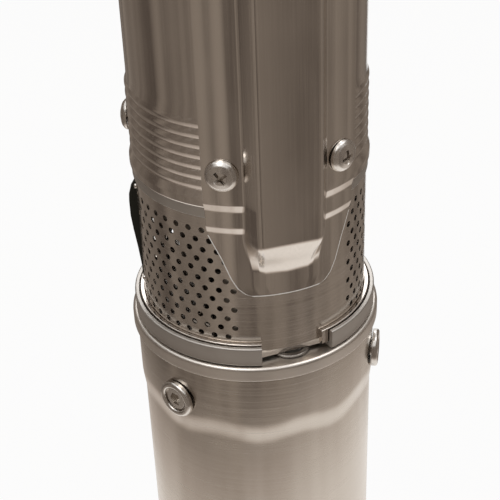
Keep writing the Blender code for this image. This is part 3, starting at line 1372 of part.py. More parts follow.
def make_coil(bottom, top):
    """Helical spring round the valve's stem, between two heights over the top seam."""
    name = "valve_spring"
    curve = bpy.data.curves.new(name, "CURVE")
    curve.dimensions = "3D"
    curve.bevel_depth = SPRING_WIRE
    curve.bevel_resolution = 0
    curve.use_fill_caps = True
    count = SPRING_TURNS * SPRING_TURN_POINTS + 1
    spline = curve.splines.new("POLY")
    spline.points.add(count - 1)
    for index, point in enumerate(spline.points):
        angle = 2 * math.pi * index / SPRING_TURN_POINTS
        height = bottom + (top - bottom) * index / (count - 1)
        point.co = (SPRING_RADIUS * math.cos(angle), SPRING_RADIUS * math.sin(angle), height, 1.0)
    holder = bpy.data.objects.new(name, curve)
    PUMP.objects.link(holder)
    mesh = baked(holder)
    coil = bmesh.new()
    coil.from_mesh(mesh)
    bmesh.ops.remove_doubles(coil, verts=coil.verts, dist=0.00001)
    coil.to_mesh(mesh)
    coil.free()
    return part_from(name, smoothed(mesh), (0.0, 0.0, TOP_SEAM))


def carry(name, height, parts):
    """Parents the pieces of one moving body to an empty on its joint's axis."""
    axis = bpy.data.objects.new(name, None)
    axis.location = (0.0, 0.0, height)
    PUMP.objects.link(axis)
    bpy.context.view_layer.update()
    for part in parts:
        part.parent = axis
        part.matrix_parent_inverse = axis.matrix_world.inverted()


def main():
    start_scene()
    make_motor_base()
    make_diaphragm()
    make_lower_bracket()
    make_motor_inside()
    make_seal()
    make_sand_slinger()
    make_motor_casing()
    make_motor_top_bracket()
    make_casing_screws()
    make_lead_socket()
    make_suction_bracket()
    make_flange_studs()
    make_strainer_screen()
    make_strainer_ring()
    make_pump_shell()
    make_o_rings()
    impellers = make_stages()
    make_top_spider()
    make_cable_guard()
    make_pan_screws()
    make_discharge_head()
    make_outlet_socket()
    poppet = make_check_valve()
    on_motor_shaft = ("rotor_core", "seal_ring", "seal_bellows", "sand_slinger")
    motor_turning = [make_motor_shaft()] + [bpy.data.objects[name] for name in on_motor_shaft]
    carry("motor_shaft_axis", MOTOR_HEIGHT, motor_turning)
    carry("pump_shaft_axis", STAGES_BOTTOM, impellers + make_pump_shaft() + [make_coupling()])
    carry("check_valve_axis", TOP_SEAM, [poppet])


main()
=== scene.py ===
"""Looks of the submersible borehole pump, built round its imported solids.

Sizes are in metres in the frame of the solids: the origin is the centre of the motor's base, +Z runs up
the shaft and the cable guard faces -Y. Angles round the pump count from the guard, positive towards +X.
"""

import json
import math

import bmesh
import bpy
from mathutils import Matrix, Vector


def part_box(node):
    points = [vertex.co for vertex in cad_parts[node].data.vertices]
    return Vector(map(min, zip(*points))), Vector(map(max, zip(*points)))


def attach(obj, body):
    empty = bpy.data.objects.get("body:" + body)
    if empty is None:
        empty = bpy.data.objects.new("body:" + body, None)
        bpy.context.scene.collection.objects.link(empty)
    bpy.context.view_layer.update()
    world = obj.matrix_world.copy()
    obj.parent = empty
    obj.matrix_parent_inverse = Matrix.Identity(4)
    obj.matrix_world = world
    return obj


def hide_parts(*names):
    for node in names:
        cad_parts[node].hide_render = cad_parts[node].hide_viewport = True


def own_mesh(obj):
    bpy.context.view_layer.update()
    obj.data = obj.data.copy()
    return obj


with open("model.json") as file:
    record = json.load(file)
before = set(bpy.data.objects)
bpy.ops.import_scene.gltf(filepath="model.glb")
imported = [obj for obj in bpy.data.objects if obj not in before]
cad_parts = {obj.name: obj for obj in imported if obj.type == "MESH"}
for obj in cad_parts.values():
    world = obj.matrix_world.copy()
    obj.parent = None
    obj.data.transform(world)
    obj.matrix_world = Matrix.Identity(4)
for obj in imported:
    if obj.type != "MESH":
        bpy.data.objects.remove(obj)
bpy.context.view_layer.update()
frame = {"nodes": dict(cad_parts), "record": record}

MM = 0.001
GAP = 0.3 * MM
MERGE = 0.002 * MM
TINY = 0.0001 * MM
Z_AXIS = Vector((0.0, 0.0, 1.0))

# Roundness and shading
SIDES = 160
SCREW_SIDES = 40
FILLET_STEPS = 4
SHARP_ANGLE = math.radians(35)

# Heights and radii that the solids give
MOTOR_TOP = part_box("motor_top_bracket")[1].z
RIM_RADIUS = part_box("motor_top_bracket")[1].x
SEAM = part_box("pump_shell")[0].z - GAP
TOP_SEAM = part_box("pump_shell")[1].z + GAP
HEAD_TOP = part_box("outlet_socket")[1].z
CASING_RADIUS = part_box("motor_base")[1].x
SCREEN_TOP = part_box("strainer_screen")[1].z
SCREEN_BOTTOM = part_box("strainer_screen")[0].z
FLANGE_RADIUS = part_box("suction_bracket")[1].x
SPIGOT_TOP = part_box("suction_bracket")[1].z
BAND_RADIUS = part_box("pump_shell")[1].x
GUARD_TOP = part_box("cable_guard")[1].z
GUARD_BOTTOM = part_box("cable_guard")[0].z
GUARD_FRONT = -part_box("cable_guard")[0].y

# Sheets and castings
TUBE_TOP = MOTOR_TOP - 5.8 * MM
TUBE_WALL = 1.2 * MM
PLATE_TOP = MOTOR_TOP + 2.4 * MM
FLANGE_RIM_TOP = MOTOR_TOP + 8.2 * MM
SHELL_RADIUS = 44 * MM
SHELL_WALL = 1.2 * MM
SPIGOT_RADIUS = SHELL_RADIUS - SHELL_WALL - GAP
SCREEN_RADIUS = 44.4 * MM
SCREEN_SHEET = 0.7 * MM
RING_RADIUS = 45 * MM
RING_BOTTOM = MOTOR_TOP + 62.1 * MM
BRACKET_RADIUS = 42.8 * MM
GUARD_SHEET = 0.8 * MM
RIB_CREST = 44.9 * MM

# Angles in degrees
NOTCH = (-13.3, 21.1)
SCREEN_RING_START = 17.1
CASING_SCREW_ANGLES = (-56.1, 63.9, 183.9)
GUARD_SCREW_ANGLE = 27.5
LOCK_SCREW_ANGLE = 112
WINDOW_SPANS = ((32, 82), (98, 148), (212, 262), (278, 328))


# Mesh helpers


def linked(name, data):
    """A new object of the scene."""
    made = bpy.data.objects.new(name, data)
    bpy.context.scene.collection.objects.link(made)
    return made


def piece(name, mesh, nodes, material, body="housing"):
    """Puts a finished mesh in the scene as a piece of one body, in place of its solids."""
    made = linked(name, mesh)
    if not mesh.materials:
        mesh.materials.append(material)
    smooth = made.modifiers.new("Normals", "WEIGHTED_NORMAL")
    smooth.keep_sharp = True
    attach(made, body)
    if nodes:
        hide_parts(*nodes)
    return made


def shaded(mesh):
    """Smooth shading that keeps real edges sharp."""
    mesh.shade_smooth()
    mesh.set_sharp_from_angle(angle=SHARP_ANGLE)
    return mesh


def mesh_from(name, sheet):
    """Turns a bmesh into a mesh with outward faces."""
    bmesh.ops.remove_doubles(sheet, verts=sheet.verts, dist=MERGE)
    bmesh.ops.recalc_face_normals(sheet, faces=sheet.faces)
    mesh = bpy.data.meshes.new(name)
    sheet.to_mesh(mesh)
    sheet.free()
    return shaded(mesh)


def in_mm(rows, base=0.0):
    """Corners from rows of (across, height over the base, fillet radius) in millimetres."""
    return [(across * MM, base + up * MM, fillet * MM) for across, up, fillet in rows]


def softened(corners, closed=True):
    """Rounds the corners of an outline; each corner is (across, up, fillet radius)."""
    points = []
    for index, (across, up, fillet) in enumerate(corners):
        here = Vector((across, up))
        at_end = not closed and index in (0, len(corners) - 1)
        if not fillet or at_end:
            points.append(here)
            continue
        to_last = Vector(corners[index - 1][:2]) - here
        to_next = Vector(corners[(index + 1) % len(corners)][:2]) - here
        half = to_last.angle(to_next) / 2
        reach = min(fillet / math.tan(half), 0.49 * to_last.length, 0.49 * to_next.length)
        radius = reach * math.tan(half)
        start = here + to_last.normalized() * reach
        end = here + to_next.normalized() * reach
        middle = (to_last.normalized() + to_next.normalized()).normalized()
        centre = here + middle * (radius / math.sin(half))
        for step in range(FILLET_STEPS + 1):
            towards = (start - centre).lerp(end - centre, step / FILLET_STEPS)
            points.append(centre + towards.normalized() * radius)
    return points


def spot(turn, radius, height):
    """Point at an angle round the pump, a radius and a height."""
    angle = math.radians(turn)
    return radius * math.sin(angle), -radius * math.cos(angle), height


def skin(sheet, rows):
    """Faces between rows of corners."""
    for low, high in zip(rows, rows[1:]):
        for index in range(len(low) - 1):
            sheet.faces.new((low[index], low[index + 1], high[index + 1], high[index]))


def lathe(name, outline, start=0.0, end=360.0, sides=SIDES, closed=True, push=None):
    """Turns an outline of (radius, height) points round the pump's axis, or part of the way."""
    full = end - start >= 360.0
    steps = sides if full else max(3, round(sides * (end - start) / 360.0))
    sheet = bmesh.new()
    columns = []
    for step in range(steps if full else steps + 1):
        turn = start + (end - start) * step / steps
        column = []
        for radius, height in outline:
            if push:
                radius += push(turn, radius, height)
            column.append(sheet.verts.new(spot(turn, radius, height)))
        columns.append(column)
    last = len(outline) if closed else len(outline) - 1
    for step in range(steps):
        here = columns[step]
        there = columns[(step + 1) % len(columns)]
        for index in range(last):
            after = (index + 1) % len(outline)
            starts_on_axis = outline[index][0] < TINY
            ends_on_axis = outline[after][0] < TINY
            if starts_on_axis and ends_on_axis:
                continue
            if starts_on_axis:
                corners = [here[index], there[after], here[after]]
            elif ends_on_axis:
                corners = [here[index], there[index], here[after]]
            else:
                corners = [here[index], there[index], there[after], here[after]]
            sheet.faces.new(corners)
    if closed and not full:
        sheet.faces.new(columns[0])
        sheet.faces.new(columns[-1])
    return mesh_from(name, sheet)


def turned(name, corners, sides=SIDES, closed=True):
    """A turned piece from the corners of its outline, which are rounded first."""
    return lathe(name, softened(corners, closed), sides=sides, closed=closed)


def prism(name, outline, bottom, top, taper=1.0):
    """A flat outline raised between two heights; taper shrinks its bottom."""
    sheet = bmesh.new()
    low = [sheet.verts.new((x * taper, y * taper, bottom)) for x, y in outline]
    high = [sheet.verts.new((x, y, top)) for x, y in outline]
    sheet.faces.new(low)
    sheet.faces.new(high)
    for index in range(len(outline)):
        after = (index + 1) % len(outline)
        sheet.faces.new((low[index], low[after], high[after], high[index]))
    return mesh_from(name, sheet)


def ring_of(radius, sides):
    """Corner points of a regular polygon."""
    angles = [2 * math.pi * side / sides for side in range(sides)]
    return [(radius * math.cos(angle), radius * math.sin(angle)) for angle in angles]


def evaluated(holder):
    """The mesh of an object after its modifiers; the object is removed."""
    graph = bpy.context.evaluated_depsgraph_get()
    result = bpy.data.meshes.new_from_object(holder.evaluated_get(graph))
    bpy.data.objects.remove(holder, do_unlink=True)
    return result


def bevelled(holder, width):
    """Gives an object a bevel of three steps on its sharp edges."""
    edge = holder.modifiers.new("edge", "BEVEL")
    edge.width = width
    edge.segments = 3
    edge.limit_method = "ANGLE"
    edge.angle_limit = math.radians(60)
    return edge


def applied(mesh, steps):
    """The mesh after Boolean steps; each is (operation, mesh)."""
    holder = linked("holder", mesh)
    tools = []
    for operation, tool_mesh in steps:
        tool = linked("tool", tool_mesh)
        step = holder.modifiers.new("step", "BOOLEAN")
        step.operation = operation
        step.solver = "EXACT"
        step.object = tool
        tools.append(tool)
    result = evaluated(holder)
    result.name = mesh.name
    for tool in tools:
        bpy.data.objects.remove(tool, do_unlink=True)
    return shaded(result)


def joined(name, parts):
    """One mesh from copies of meshes at places; parts holds (mesh, matrix)."""
    group = bmesh.new()
    for mesh, place in parts:
        copy = mesh.copy()
        copy.transform(place)
        group.from_mesh(copy)
        bpy.data.meshes.remove(copy)
    result = bpy.data.meshes.new(name)
    group.to_mesh(result)
    group.free()
    return shaded(result)


# Turns a piece's +Z to -Y
LAID = Matrix.Rotation(math.radians(90), 4, "X")


def about(angle):
    """Matrix of a turn round the pump's axis."""
    return Matrix.Rotation(math.radians(angle), 4, "Z")


def upright(angle, radius, height):
    """Matrix that moves an upright piece to an angle and a radius."""
    return about(angle) @ Matrix.Translation((0.0, -radius, height))


def outward(angle, radius, height):
    """Matrix that stands a piece's +Z straight out from the pump's axis."""
    return upright(angle, radius, height) @ LAID


def ease(share):
    """Smooth step from 0 to 1."""
    share = min(1.0, max(0.0, share))
    return share * share * (3 - 2 * share)


def slant(share, soft=0.1):
    """Straight ramp from 0 to 1 with a slight rounding at both ends."""
    shifts = (-soft, -soft / 2, 0.0, soft / 2, soft)
    return sum(min(1.0, max(0.0, share + shift)) for shift in shifts) / len(shifts)


def sheet_solid(name, mesh, thickness, face, bevel=0.0):
    """The mesh with a wall inwards and, if asked, a small bevel on its cut edges, which then carry a painted
    highlight.
    """
    mesh.materials.append(face)
    mesh.materials.append(CUT_EDGE_HIGHLIGHT)
    holder = linked(name, mesh)
    wall = holder.modifiers.new("wall", "SOLIDIFY")
    wall.thickness = thickness
    wall.offset = -1.0
    wall.use_even_offset = True
    # With a bevel, the rims and the bevel take the second slot, near-white: a painted highlight
    wall.material_offset_rim = 1 if bevel else 0
    if bevel:
        bevelled(holder, bevel).material = 1
    return shaded(evaluated(holder))


# Materials


class Nodes:
    """A shader tree with short calls for its nodes."""

    def __init__(self, tree):
        self.tree = tree

    def link(self, out, into):
        self.tree.links.new(out, into)

    def add(self, kind, inputs, **settings):
        """A new node; each input is a value or another node's output."""
        node = self.tree.nodes.new("ShaderNode" + kind)
        for name, value in settings.items():
            setattr(node, name, value)
        for name, value in inputs.items():
            if isinstance(value, bpy.types.NodeSocket):
                self.link(value, node.inputs[name])
            else:
                node.inputs[name].default_value = value
        return node

    def remap(self, value, low, high, start=0.0, end=1.0, curve="LINEAR"):
        """Maps low to high onto start to end."""
        inputs = {"Value": value, "From Min": low, "From Max": high, "To Min": start, "To Max": end}
        return self.add("MapRange", inputs, interpolation_type=curve).outputs["Result"]

    def math(self, operation, *values):
        return self.add("Math", dict(enumerate(values)), operation=operation).outputs["Value"]

    def vector(self, operation, *values):
        return self.add("VectorMath", dict(enumerate(values)), operation=operation)

    def mix(self, share, first, second):
        """Blend of two colours."""
        node = self.add("Mix", {"Factor": share}, data_type="RGBA")
        sockets = [entry for entry in node.inputs if entry.type == "RGBA"]
        for into, colour in zip(sockets, (first, second)):
            if isinstance(colour, tuple):
                into.default_value = (*colour, 1.0)
            else:
                self.link(colour, into)
        return [entry for entry in node.outputs if entry.type == "RGBA"][0]

    def seen_share(self):
        """1 for rays from the camera and for those that steel or glass sends on, 0 for soft light."""
        path = self.add("LightPath", {})
        total = path.outputs["Is Camera Ray"]
        for name in ("Is Glossy Ray", "Is Transmission Ray"):
            both = {0: total, 1: path.outputs[name]}
            total = self.add("Math", both, operation="ADD", use_clamp=True).outputs["Value"]
        return total


class Surface(Nodes):
    """A material with a Principled shader."""

    def __init__(self, name, colour, roughness, metallic):
        self.material = bpy.data.materials.new(name)
        self.material.use_nodes = True
        super().__init__(self.material.node_tree)
        self.shader = self.tree.nodes["Principled BSDF"]
        self.shader.inputs["Base Color"].default_value = (*colour, 1.0)
        self.shader.inputs["Roughness"].default_value = roughness
        self.shader.inputs["Metallic"].default_value = metallic
        self.coordinates = self.add("TexCoord", {}).outputs["Object"]

    def noise(self, stretch, detail=3.0, roughness=0.6):
        """Noise whose frequency along each axis is the stretch, per metre."""
        place = self.add("Mapping", {"Vector": self.coordinates, "Scale": stretch}).outputs["Vector"]
        inputs = {"Vector": place, "Scale": 1.0, "Detail": detail, "Roughness": roughness}
        return self.add("TexNoise", inputs).outputs["Fac"]

    def finish(self, colour, roughness, height, strength, depth):
        """Links the colour, the roughness and a bump to the shader, and gives the material."""
        bump = self.add("Bump", {"Height": height, "Strength": strength, "Distance": depth})
        self.link(colour, self.shader.inputs["Base Color"])
        self.link(roughness, self.shader.inputs["Roughness"])
        self.link(bump.outputs["Normal"], self.shader.inputs["Normal"])
        return self.material


def metal(name, light, dark, roughness, grain, depth, spread=0.06):
    """Bare metal with a directional grain, faint stains and worn patches."""
    made = Surface(name, light, roughness, 1.0)
    lines = made.noise(grain, 4.0, 0.65)
    stains = made.noise((35.0, 35.0, 22.0), 3.0, 0.55)
    both = made.math("ADD", made.math("MULTIPLY", lines, 0.35), made.math("MULTIPLY", stains, 0.65))
    colour = made.mix(made.remap(both, 0.36, 0.64), dark, light)
    fine = made.remap(lines, 0.3, 0.7, -spread, spread)
    coarse = made.remap(stains, 0.35, 0.65, -spread / 2, spread / 2)
    rough = made.math("ADD", made.math("ADD", fine, coarse), roughness)
    return made.finish(colour, rough, lines, 0.14, depth)


def plain(name, colour, second, roughness, metallic, fineness, depth):
    """Moulded, cast or rubber surface with an even fine texture."""
    made = Surface(name, colour, roughness, metallic)
    grain = made.noise((fineness, fineness, fineness))
    blend = made.mix(made.remap(grain, 0.35, 0.65), colour, second)
    rough = made.remap(grain, 0.3, 0.7, roughness - 0.08, roughness + 0.08)
    return made.finish(blend, rough, grain, 0.3, depth)


UP_GRAIN = (1400.0, 1400.0, 14.0)
ROUND_GRAIN = (10.0, 10.0, 2600.0)
DRAWN = metal("drawn_steel", (0.73, 0.675, 0.62), (0.64, 0.585, 0.535), 0.17, UP_GRAIN, 0.00002)
TUBE = metal("motor_tube_steel", (0.64, 0.59, 0.53), (0.56, 0.51, 0.46), 0.22, (16.0, 16.0, 1500.0), 0.00001)
GUARD_STEEL = metal("guard_steel", (0.73, 0.675, 0.62), (0.64, 0.59, 0.54), 0.15, UP_GRAIN, 0.000025, 0.05)
SCREEN_STEEL = metal("screen_steel", (0.73, 0.675, 0.62), (0.63, 0.58, 0.525), 0.20, ROUND_GRAIN, 0.00001)
TURNED = metal("turned_steel", (0.77, 0.72, 0.66), (0.67, 0.62, 0.57), 0.38, ROUND_GRAIN, 0.00002)
FLANGE = metal("flange_steel", (0.60, 0.57, 0.53), (0.52, 0.49, 0.46), 0.48, ROUND_GRAIN, 0.00002)
CAST = metal("cast_steel", (0.50, 0.47, 0.43), (0.40, 0.37, 0.34), 0.42, (500.0, 500.0, 500.0), 0.00004)
BRIGHT = metal("bright_steel", (0.74, 0.70, 0.66), (0.62, 0.59, 0.55), 0.24, (700.0, 700.0, 700.0), 0.00001)
# Near-black steel for the screen's seam: a painted dark reflection and shade
SEAM_DARK_REFLECTION = metal("seam_painted_dark_reflection", (0.06, 0.062, 0.055), (0.035, 0.038, 0.034), 0.35, UP_GRAIN, 0.00001)
# Near-white edge colour: a painted highlight along the sheets' cut edges
CUT_EDGE_HIGHLIGHT = plain("cut_edge_painted_highlight", (0.93, 0.91, 0.88), (0.84, 0.82, 0.79), 0.45, 0.15, 900.0, 0.00001)
IRON = plain("lamination_iron", (0.18, 0.18, 0.19), (0.11, 0.11, 0.12), 0.55, 1.0, 900.0, 0.00005)
COPPER = metal("copper_winding", (0.62, 0.28, 0.13), (0.40, 0.15, 0.06), 0.38, ROUND_GRAIN, 0.0001)
BRONZE = metal("bronze", (0.60, 0.42, 0.20), (0.46, 0.31, 0.14), 0.32, ROUND_GRAIN, 0.00002)
RUBBER = plain("black_rubber", (0.022, 0.022, 0.022), (0.035, 0.034, 0.033), 0.7, 0.0, 1200.0, 0.00003)
CERAMIC = plain("seal_ceramic", (0.78, 0.76, 0.71), (0.72, 0.70, 0.66), 0.3, 0.0, 700.0, 0.00001)
PLASTIC = plain("socket_plastic", (0.10, 0.09, 0.08), (0.065, 0.06, 0.055), 0.42, 0.0, 900.0, 0.00002)
# Darker metal than the pump's other steel, for the lead cap
CAP_DARK_METAL = plain("lead_cap_dark_metal", (0.34, 0.31, 0.28), (0.24, 0.22, 0.20), 0.32, 0.85, 700.0, 0.00002)

NODE_MATERIALS = {
    "brushed_steel": DRAWN,
    "cast_steel": CAST,
    "bright_steel": BRIGHT,
    "iron": IRON,
    "copper": COPPER,
    "bronze": BRONZE,
    "rubber": RUBBER,
    "ceramic": CERAMIC,
    "black_plastic": PLASTIC,
}


def paint_nodes():
    """Gives every solid the finish of its material slot."""
    for entry in frame["record"]["subparts"]:
        node = frame["nodes"][entry["node"]]
        for place in node.material_slots:
            place.link = "OBJECT"
            place.material = NODE_MATERIALS[entry["material_slot"]]


# Motor


COLLAR_SWELL = 0.9 * MM
COLLAR_DEPTH = 27.5 * MM
COLLAR_FADE = 10.5 * MM
COLLAR_RIPPLE = 1.3 * MM
RIPPLE_COUNT = 9
RIPPLE_TURN = 15.5


def collar_swell(turn, radius, height):
    """Extra radius of the tube's top: full at the rim, gone below a soft shoulder with a slight ripple."""
    ripple = COLLAR_RIPPLE * math.cos(math.radians(RIPPLE_COUNT * (turn + RIPPLE_TURN)))
    depth = MOTOR_TOP - height - ripple
    return COLLAR_SWELL * (1.0 - ease((depth - COLLAR_DEPTH) / COLLAR_FADE))


def motor_tube():
    """Drawn tube that swells under the rim, where the screws sit."""
    top = TUBE_TOP - GAP
    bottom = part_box("motor_casing")[0].z
    levels = [MOTOR_TOP - (22 + step) * MM for step in range(22)]
    outer = [(CASING_RADIUS, top, 0.4 * MM)]
    outer += [(CASING_RADIUS, level, 0) for level in levels]
    outer += [(CASING_RADIUS, bottom, 0.3 * MM)]
    inner = [(across - TUBE_WALL, up, 0) for across, up, _ in reversed(outer)]
    mesh = lathe("motor_tube", softened(outer + inner), push=collar_swell)
    piece("motor_tube", mesh, ["motor_casing"], TUBE)


def motor_rim():
    """End casting of the motor: the rim with its face, and the parts inside the tube."""
    outline = [
        (RIM_RADIUS, MOTOR_TOP, 1.3 * MM),
        (RIM_RADIUS, TUBE_TOP, 0.4 * MM),
        (47 * MM, TUBE_TOP, 0),
    ]
    outline += in_mm([
        (47, -28, 1),
        (45, -33, 2),
        (45, -38, 2),
        (46.1, -43, 0),
        (46.1, -52, 0.5),
        (41.1, -52, 0.5),
        (41.1, -22, 2),
        (25, -22, 2),
        (25, -45, 0.5),
        (20.3, -45, 0.5),
        (20.3, -25, 0),
        (15.8, -25, 0),
        (15.8, -7, 0),
        (12, -7, 0),
        (12, 0, 0.5),
    ], MOTOR_TOP)
    mesh = turned("motor_rim", outline)
    piece("motor_rim", mesh, ["motor_top_bracket"], TURNED)


def motor_foot():
    """Flat end of the motor with its vents."""
    cup = CASING_RADIUS - TUBE_WALL - GAP
    outline = [
        (0.0, 5 * MM, 0),
        (40 * MM, 5 * MM, 1 * MM),
        (40 * MM, 26 * MM, 0.3 * MM),
        (cup, 26 * MM, 0.3 * MM),
        (cup, 12 * MM, 0),
        (CASING_RADIUS, 12 * MM, 0.3 * MM),
        (CASING_RADIUS, 0.0, 2.2 * MM),
        (0.0, 0.0, 0),
    ]
    mesh = turned("motor_foot", outline, closed=False)
    vent = prism("vent", ring_of(2.5 * MM, 20), -5 * MM, 10 * MM)
    vents = joined("vents", [(vent, upright(angle, 25 * MM, 0.0)) for angle in (0, 180)])
    mesh = applied(mesh, [("DIFFERENCE", vents)])
    piece("motor_foot", mesh, ["motor_base"], TURNED)


def socket_screws():
    """Round casing screws: thick rounded rim, groove, sunk face and a hexagon socket."""
    outline = in_mm([
        (0, 1.5, 0),
        (4.5, 1.5, 0.2),
        (4.6, 0.7, 0),
        (5.2, 0.7, 0),
        (5.3, 2.4, 0.8),
        (7.8, 2.4, 1.4),
        (7.8, 0, 0.2),
        (4, 0, 0),
        (4, -6.5, 0.4),
        (0, -6.5, 0),
    ])
    body = turned("socket_screw", outline, SCREW_SIDES, closed=False)
    socket = prism("socket", ring_of(2.9 * MM, 6), -1.2 * MM, 4 * MM)
    mesh = applied(body, [("DIFFERENCE", socket)])
    seat = 48.5 * MM + GAP
    height = MOTOR_TOP - 22.3 * MM
    for number, angle in enumerate(CASING_SCREW_ANGLES, 1):
        copy = mesh.copy()
        copy.transform(outward(angle, seat, height))
        name = f"motor_socket_screw_{number}"
        piece(name, copy, [f"casing_screw_{number}"], BRIGHT)


def lead_cap():
    """Round cap of the motor's lead, nearly flush, with a dished middle."""
    outline = in_mm([
        (0, 0.25, 0),
        (5.4, 0.35, 0.3),
        (6.1, 0.8, 0.3),
        (7.6, 0.8, 0.3),
        (8, 0.4, 0.2),
        (8, 0, 0.1),
        (5.5, 0, 0),
        (5.5, -22, 0.5),
        (0, -22, 0),
    ])
    mesh = turned("lead_cap", outline, SCREW_SIDES, closed=False)
    mesh.transform(upright(sum(NOTCH) / 2, 38 * MM, MOTOR_TOP + GAP))
    piece("lead_cap", mesh, ["lead_socket"], CAP_DARK_METAL)


# Intake


def block(inside, outside, low, high):
    """Outline of a block between two radii and two heights."""
    return [(inside, low), (outside, low), (outside, high), (inside, high)]


def intake_casting():
    """Flange on the motor, windowed wall behind the screen, ring under the shell and its spigot."""
    base = MOTOR_TOP
    rim_bore = FLANGE_RADIUS - 1.8 * MM
    wall_bore = BRACKET_RADIUS - 1.5 * MM
    spigot_bore = SPIGOT_RADIUS - 3 * MM
    outline = [
        (SPIGOT_RADIUS, SPIGOT_TOP, 0.5 * MM),
        (SPIGOT_RADIUS, SEAM, 0),
        (RING_RADIUS, SEAM, 0.5 * MM),
        (RING_RADIUS, RING_BOTTOM, 0.4 * MM),
        (BRACKET_RADIUS, RING_BOTTOM, 0),
        (BRACKET_RADIUS, PLATE_TOP, 0.3 * MM),
        (rim_bore, PLATE_TOP, 0.3 * MM),
        (rim_bore, FLANGE_RIM_TOP, 0.35 * MM),
        (FLANGE_RADIUS, FLANGE_RIM_TOP, 0.6 * MM),
        (FLANGE_RADIUS, base + GAP, 0.8 * MM),
        (22 * MM, base + GAP, 0),
        (22 * MM, base + 8 * MM, 0.5 * MM),
        (wall_bore, base + 8 * MM, 1 * MM),
        (wall_bore, base + 54 * MM, 0),
        (spigot_bore, base + 57 * MM, 0),
        (spigot_bore, base + 92 * MM, 0),
        (24 * MM, base + 96 * MM, 0),
        (24 * MM, base + 100 * MM, 0.5 * MM),
    ]
    body = turned("intake_casting", outline)
    window = block(wall_bore - 5 * MM, BRACKET_RADIUS + 0.8 * MM, base + 8 * MM, base + 54 * MM)
    cuts = [(lathe("window", window, *span), Matrix.Identity(4)) for span in WINDOW_SPANS]
    notch = block(27 * MM, FLANGE_RADIUS + 5 * MM, base - 5 * MM, base + 8.7 * MM)
    steps = [("DIFFERENCE", joined("windows", cuts)), ("DIFFERENCE", lathe("notch", notch, *NOTCH))]
    piece("intake_casting", applied(body, steps), ["suction_bracket"], FLANGE)


LATTICE_COLUMNS = 51
LATTICE_PITCH = 360.0 / LATTICE_COLUMNS
LATTICE_ROWS = 14
ROW_STEP = 4.14 * MM
TOP_ROW = 56.4 * MM
LATTICE_PHASE = -25.6
PERFORATION = 1.2 * MM
PLAIN_SPAN = (-23.5, 35.0)
SCREEN_SEAM = -97.5
LEAF_TURN = 0.62
RIVET_TURN = 2.6
LIP_SPAN = (-13.3, 21.0)
CELL_POINTS = 16

# Height over the motor's top and how far the turned-out ends stand proud there, in millimetres
SEAM_LINE = ((13.5, 0.2), (21, 0.4), (30, 1.3), (38, 2.3), (44, 2.9), (50, 2.9), (53, 2.7), (57, 1.6),
             (59.5, 0.1))


def cell(sheet, turn, height, holed):
    """One lattice cell, a rectangle in angle and height with a round hole or a plain face."""
    edge = []
    inside = []
    half_turn = LATTICE_PITCH / 2
    half_step = ROW_STEP / 2
    for point in range(CELL_POINTS):
        angle = 2 * math.pi * point / CELL_POINTS
        side = max(abs(math.cos(angle)), abs(math.sin(angle)))
        across = math.cos(angle) / side
        up = math.sin(angle) / side
        quarter = round(across * 2) / 2 if abs(up) > 0.99 else across
        rise = round(up * 2) / 2 if abs(across) > 0.99 else up
        edge.append((turn + quarter * half_turn, height + rise * half_step))
        hole_turn = math.degrees(PERFORATION / SCREEN_RADIUS) * math.cos(angle)
        inside.append((turn + hole_turn, height + PERFORATION * math.sin(angle)))
    outer = [sheet.verts.new(spot(across, SCREEN_RADIUS, up)) for across, up in edge]
    inner = [sheet.verts.new(spot(across, SCREEN_RADIUS, up)) for across, up in inside]
    for index in range(CELL_POINTS):
        after = (index + 1) % CELL_POINTS
        sheet.faces.new((outer[index], outer[after], inner[after], inner[index]))
    if not holed:
        sheet.faces.new(inner)


def lip_radius(turn, height):
    """Radius of the sheet: in the flange's notch its foot is pressed flat along a chord."""
    away = math.radians(turn - sum(LIP_SPAN) / 2)
    half = math.radians((LIP_SPAN[1] - LIP_SPAN[0]) / 2)
    if abs(away) >= half:
        return SCREEN_RADIUS
    chord = SCREEN_RADIUS * math.cos(half) / math.cos(away)
    share = ease((MOTOR_TOP + 4.9 * MM - height) / (1.4 * MM))
    return SCREEN_RADIUS + (chord - SCREEN_RADIUS) * share


def band(sheet, heights, turns):
    """Plain strip of the sheet through a list of heights."""
    rows = []
    for height in heights:
        rows.append([sheet.verts.new(spot(turn, lip_radius(turn, height), height)) for turn in turns])
    skin(sheet, rows)


def intake_screen():
    """Perforated sheet wrapped round the intake, with a flattened lip over the motor's lead."""
    sheet = bmesh.new()
    top_row = MOTOR_TOP + TOP_ROW
    quarter = LATTICE_PITCH / 4
    turns = [LATTICE_PHASE + quarter * step for step in range(4 * LATTICE_COLUMNS + 1)]
    foot = top_row + ROW_STEP / 2
    for row in range(LATTICE_ROWS):
        height = top_row - row * ROW_STEP
        if height - ROW_STEP / 2 < SCREEN_BOTTOM:
            break
        foot = height - ROW_STEP / 2
        shift = 0.0 if row % 2 == 0 else LATTICE_PITCH / 2
        for column in range(LATTICE_COLUMNS):
            turn = LATTICE_PHASE + shift + column * LATTICE_PITCH
            away = (turn - sum(PLAIN_SPAN) / 2 + 180.0) % 360.0 - 180.0
            from_seam = (turn - SCREEN_SEAM + 180.0) % 360.0 - 180.0
            plain_here = abs(away) < (PLAIN_SPAN[1] - PLAIN_SPAN[0]) / 2
            cell(sheet, turn, height, not plain_here and abs(from_seam) > LATTICE_PITCH * 0.75)
    band(sheet, [top_row + ROW_STEP / 2, SCREEN_TOP], turns)
    drop = (foot - SCREEN_BOTTOM) / 5
    band(sheet, [foot - step * drop for step in range(5, -1, -1)], turns)
    lip = [turn for turn in turns if LIP_SPAN[0] < turn < LIP_SPAN[1]]
    band(sheet, [MOTOR_TOP + 1.3 * MM, MOTOR_TOP + 2 * MM, SCREEN_BOTTOM], lip)
    mesh = sheet_solid("intake_screen", mesh_from("intake_screen", sheet), SCREEN_SHEET, SCREEN_STEEL)
    piece("intake_screen", mesh, ["strainer_screen"], SCREEN_STEEL)


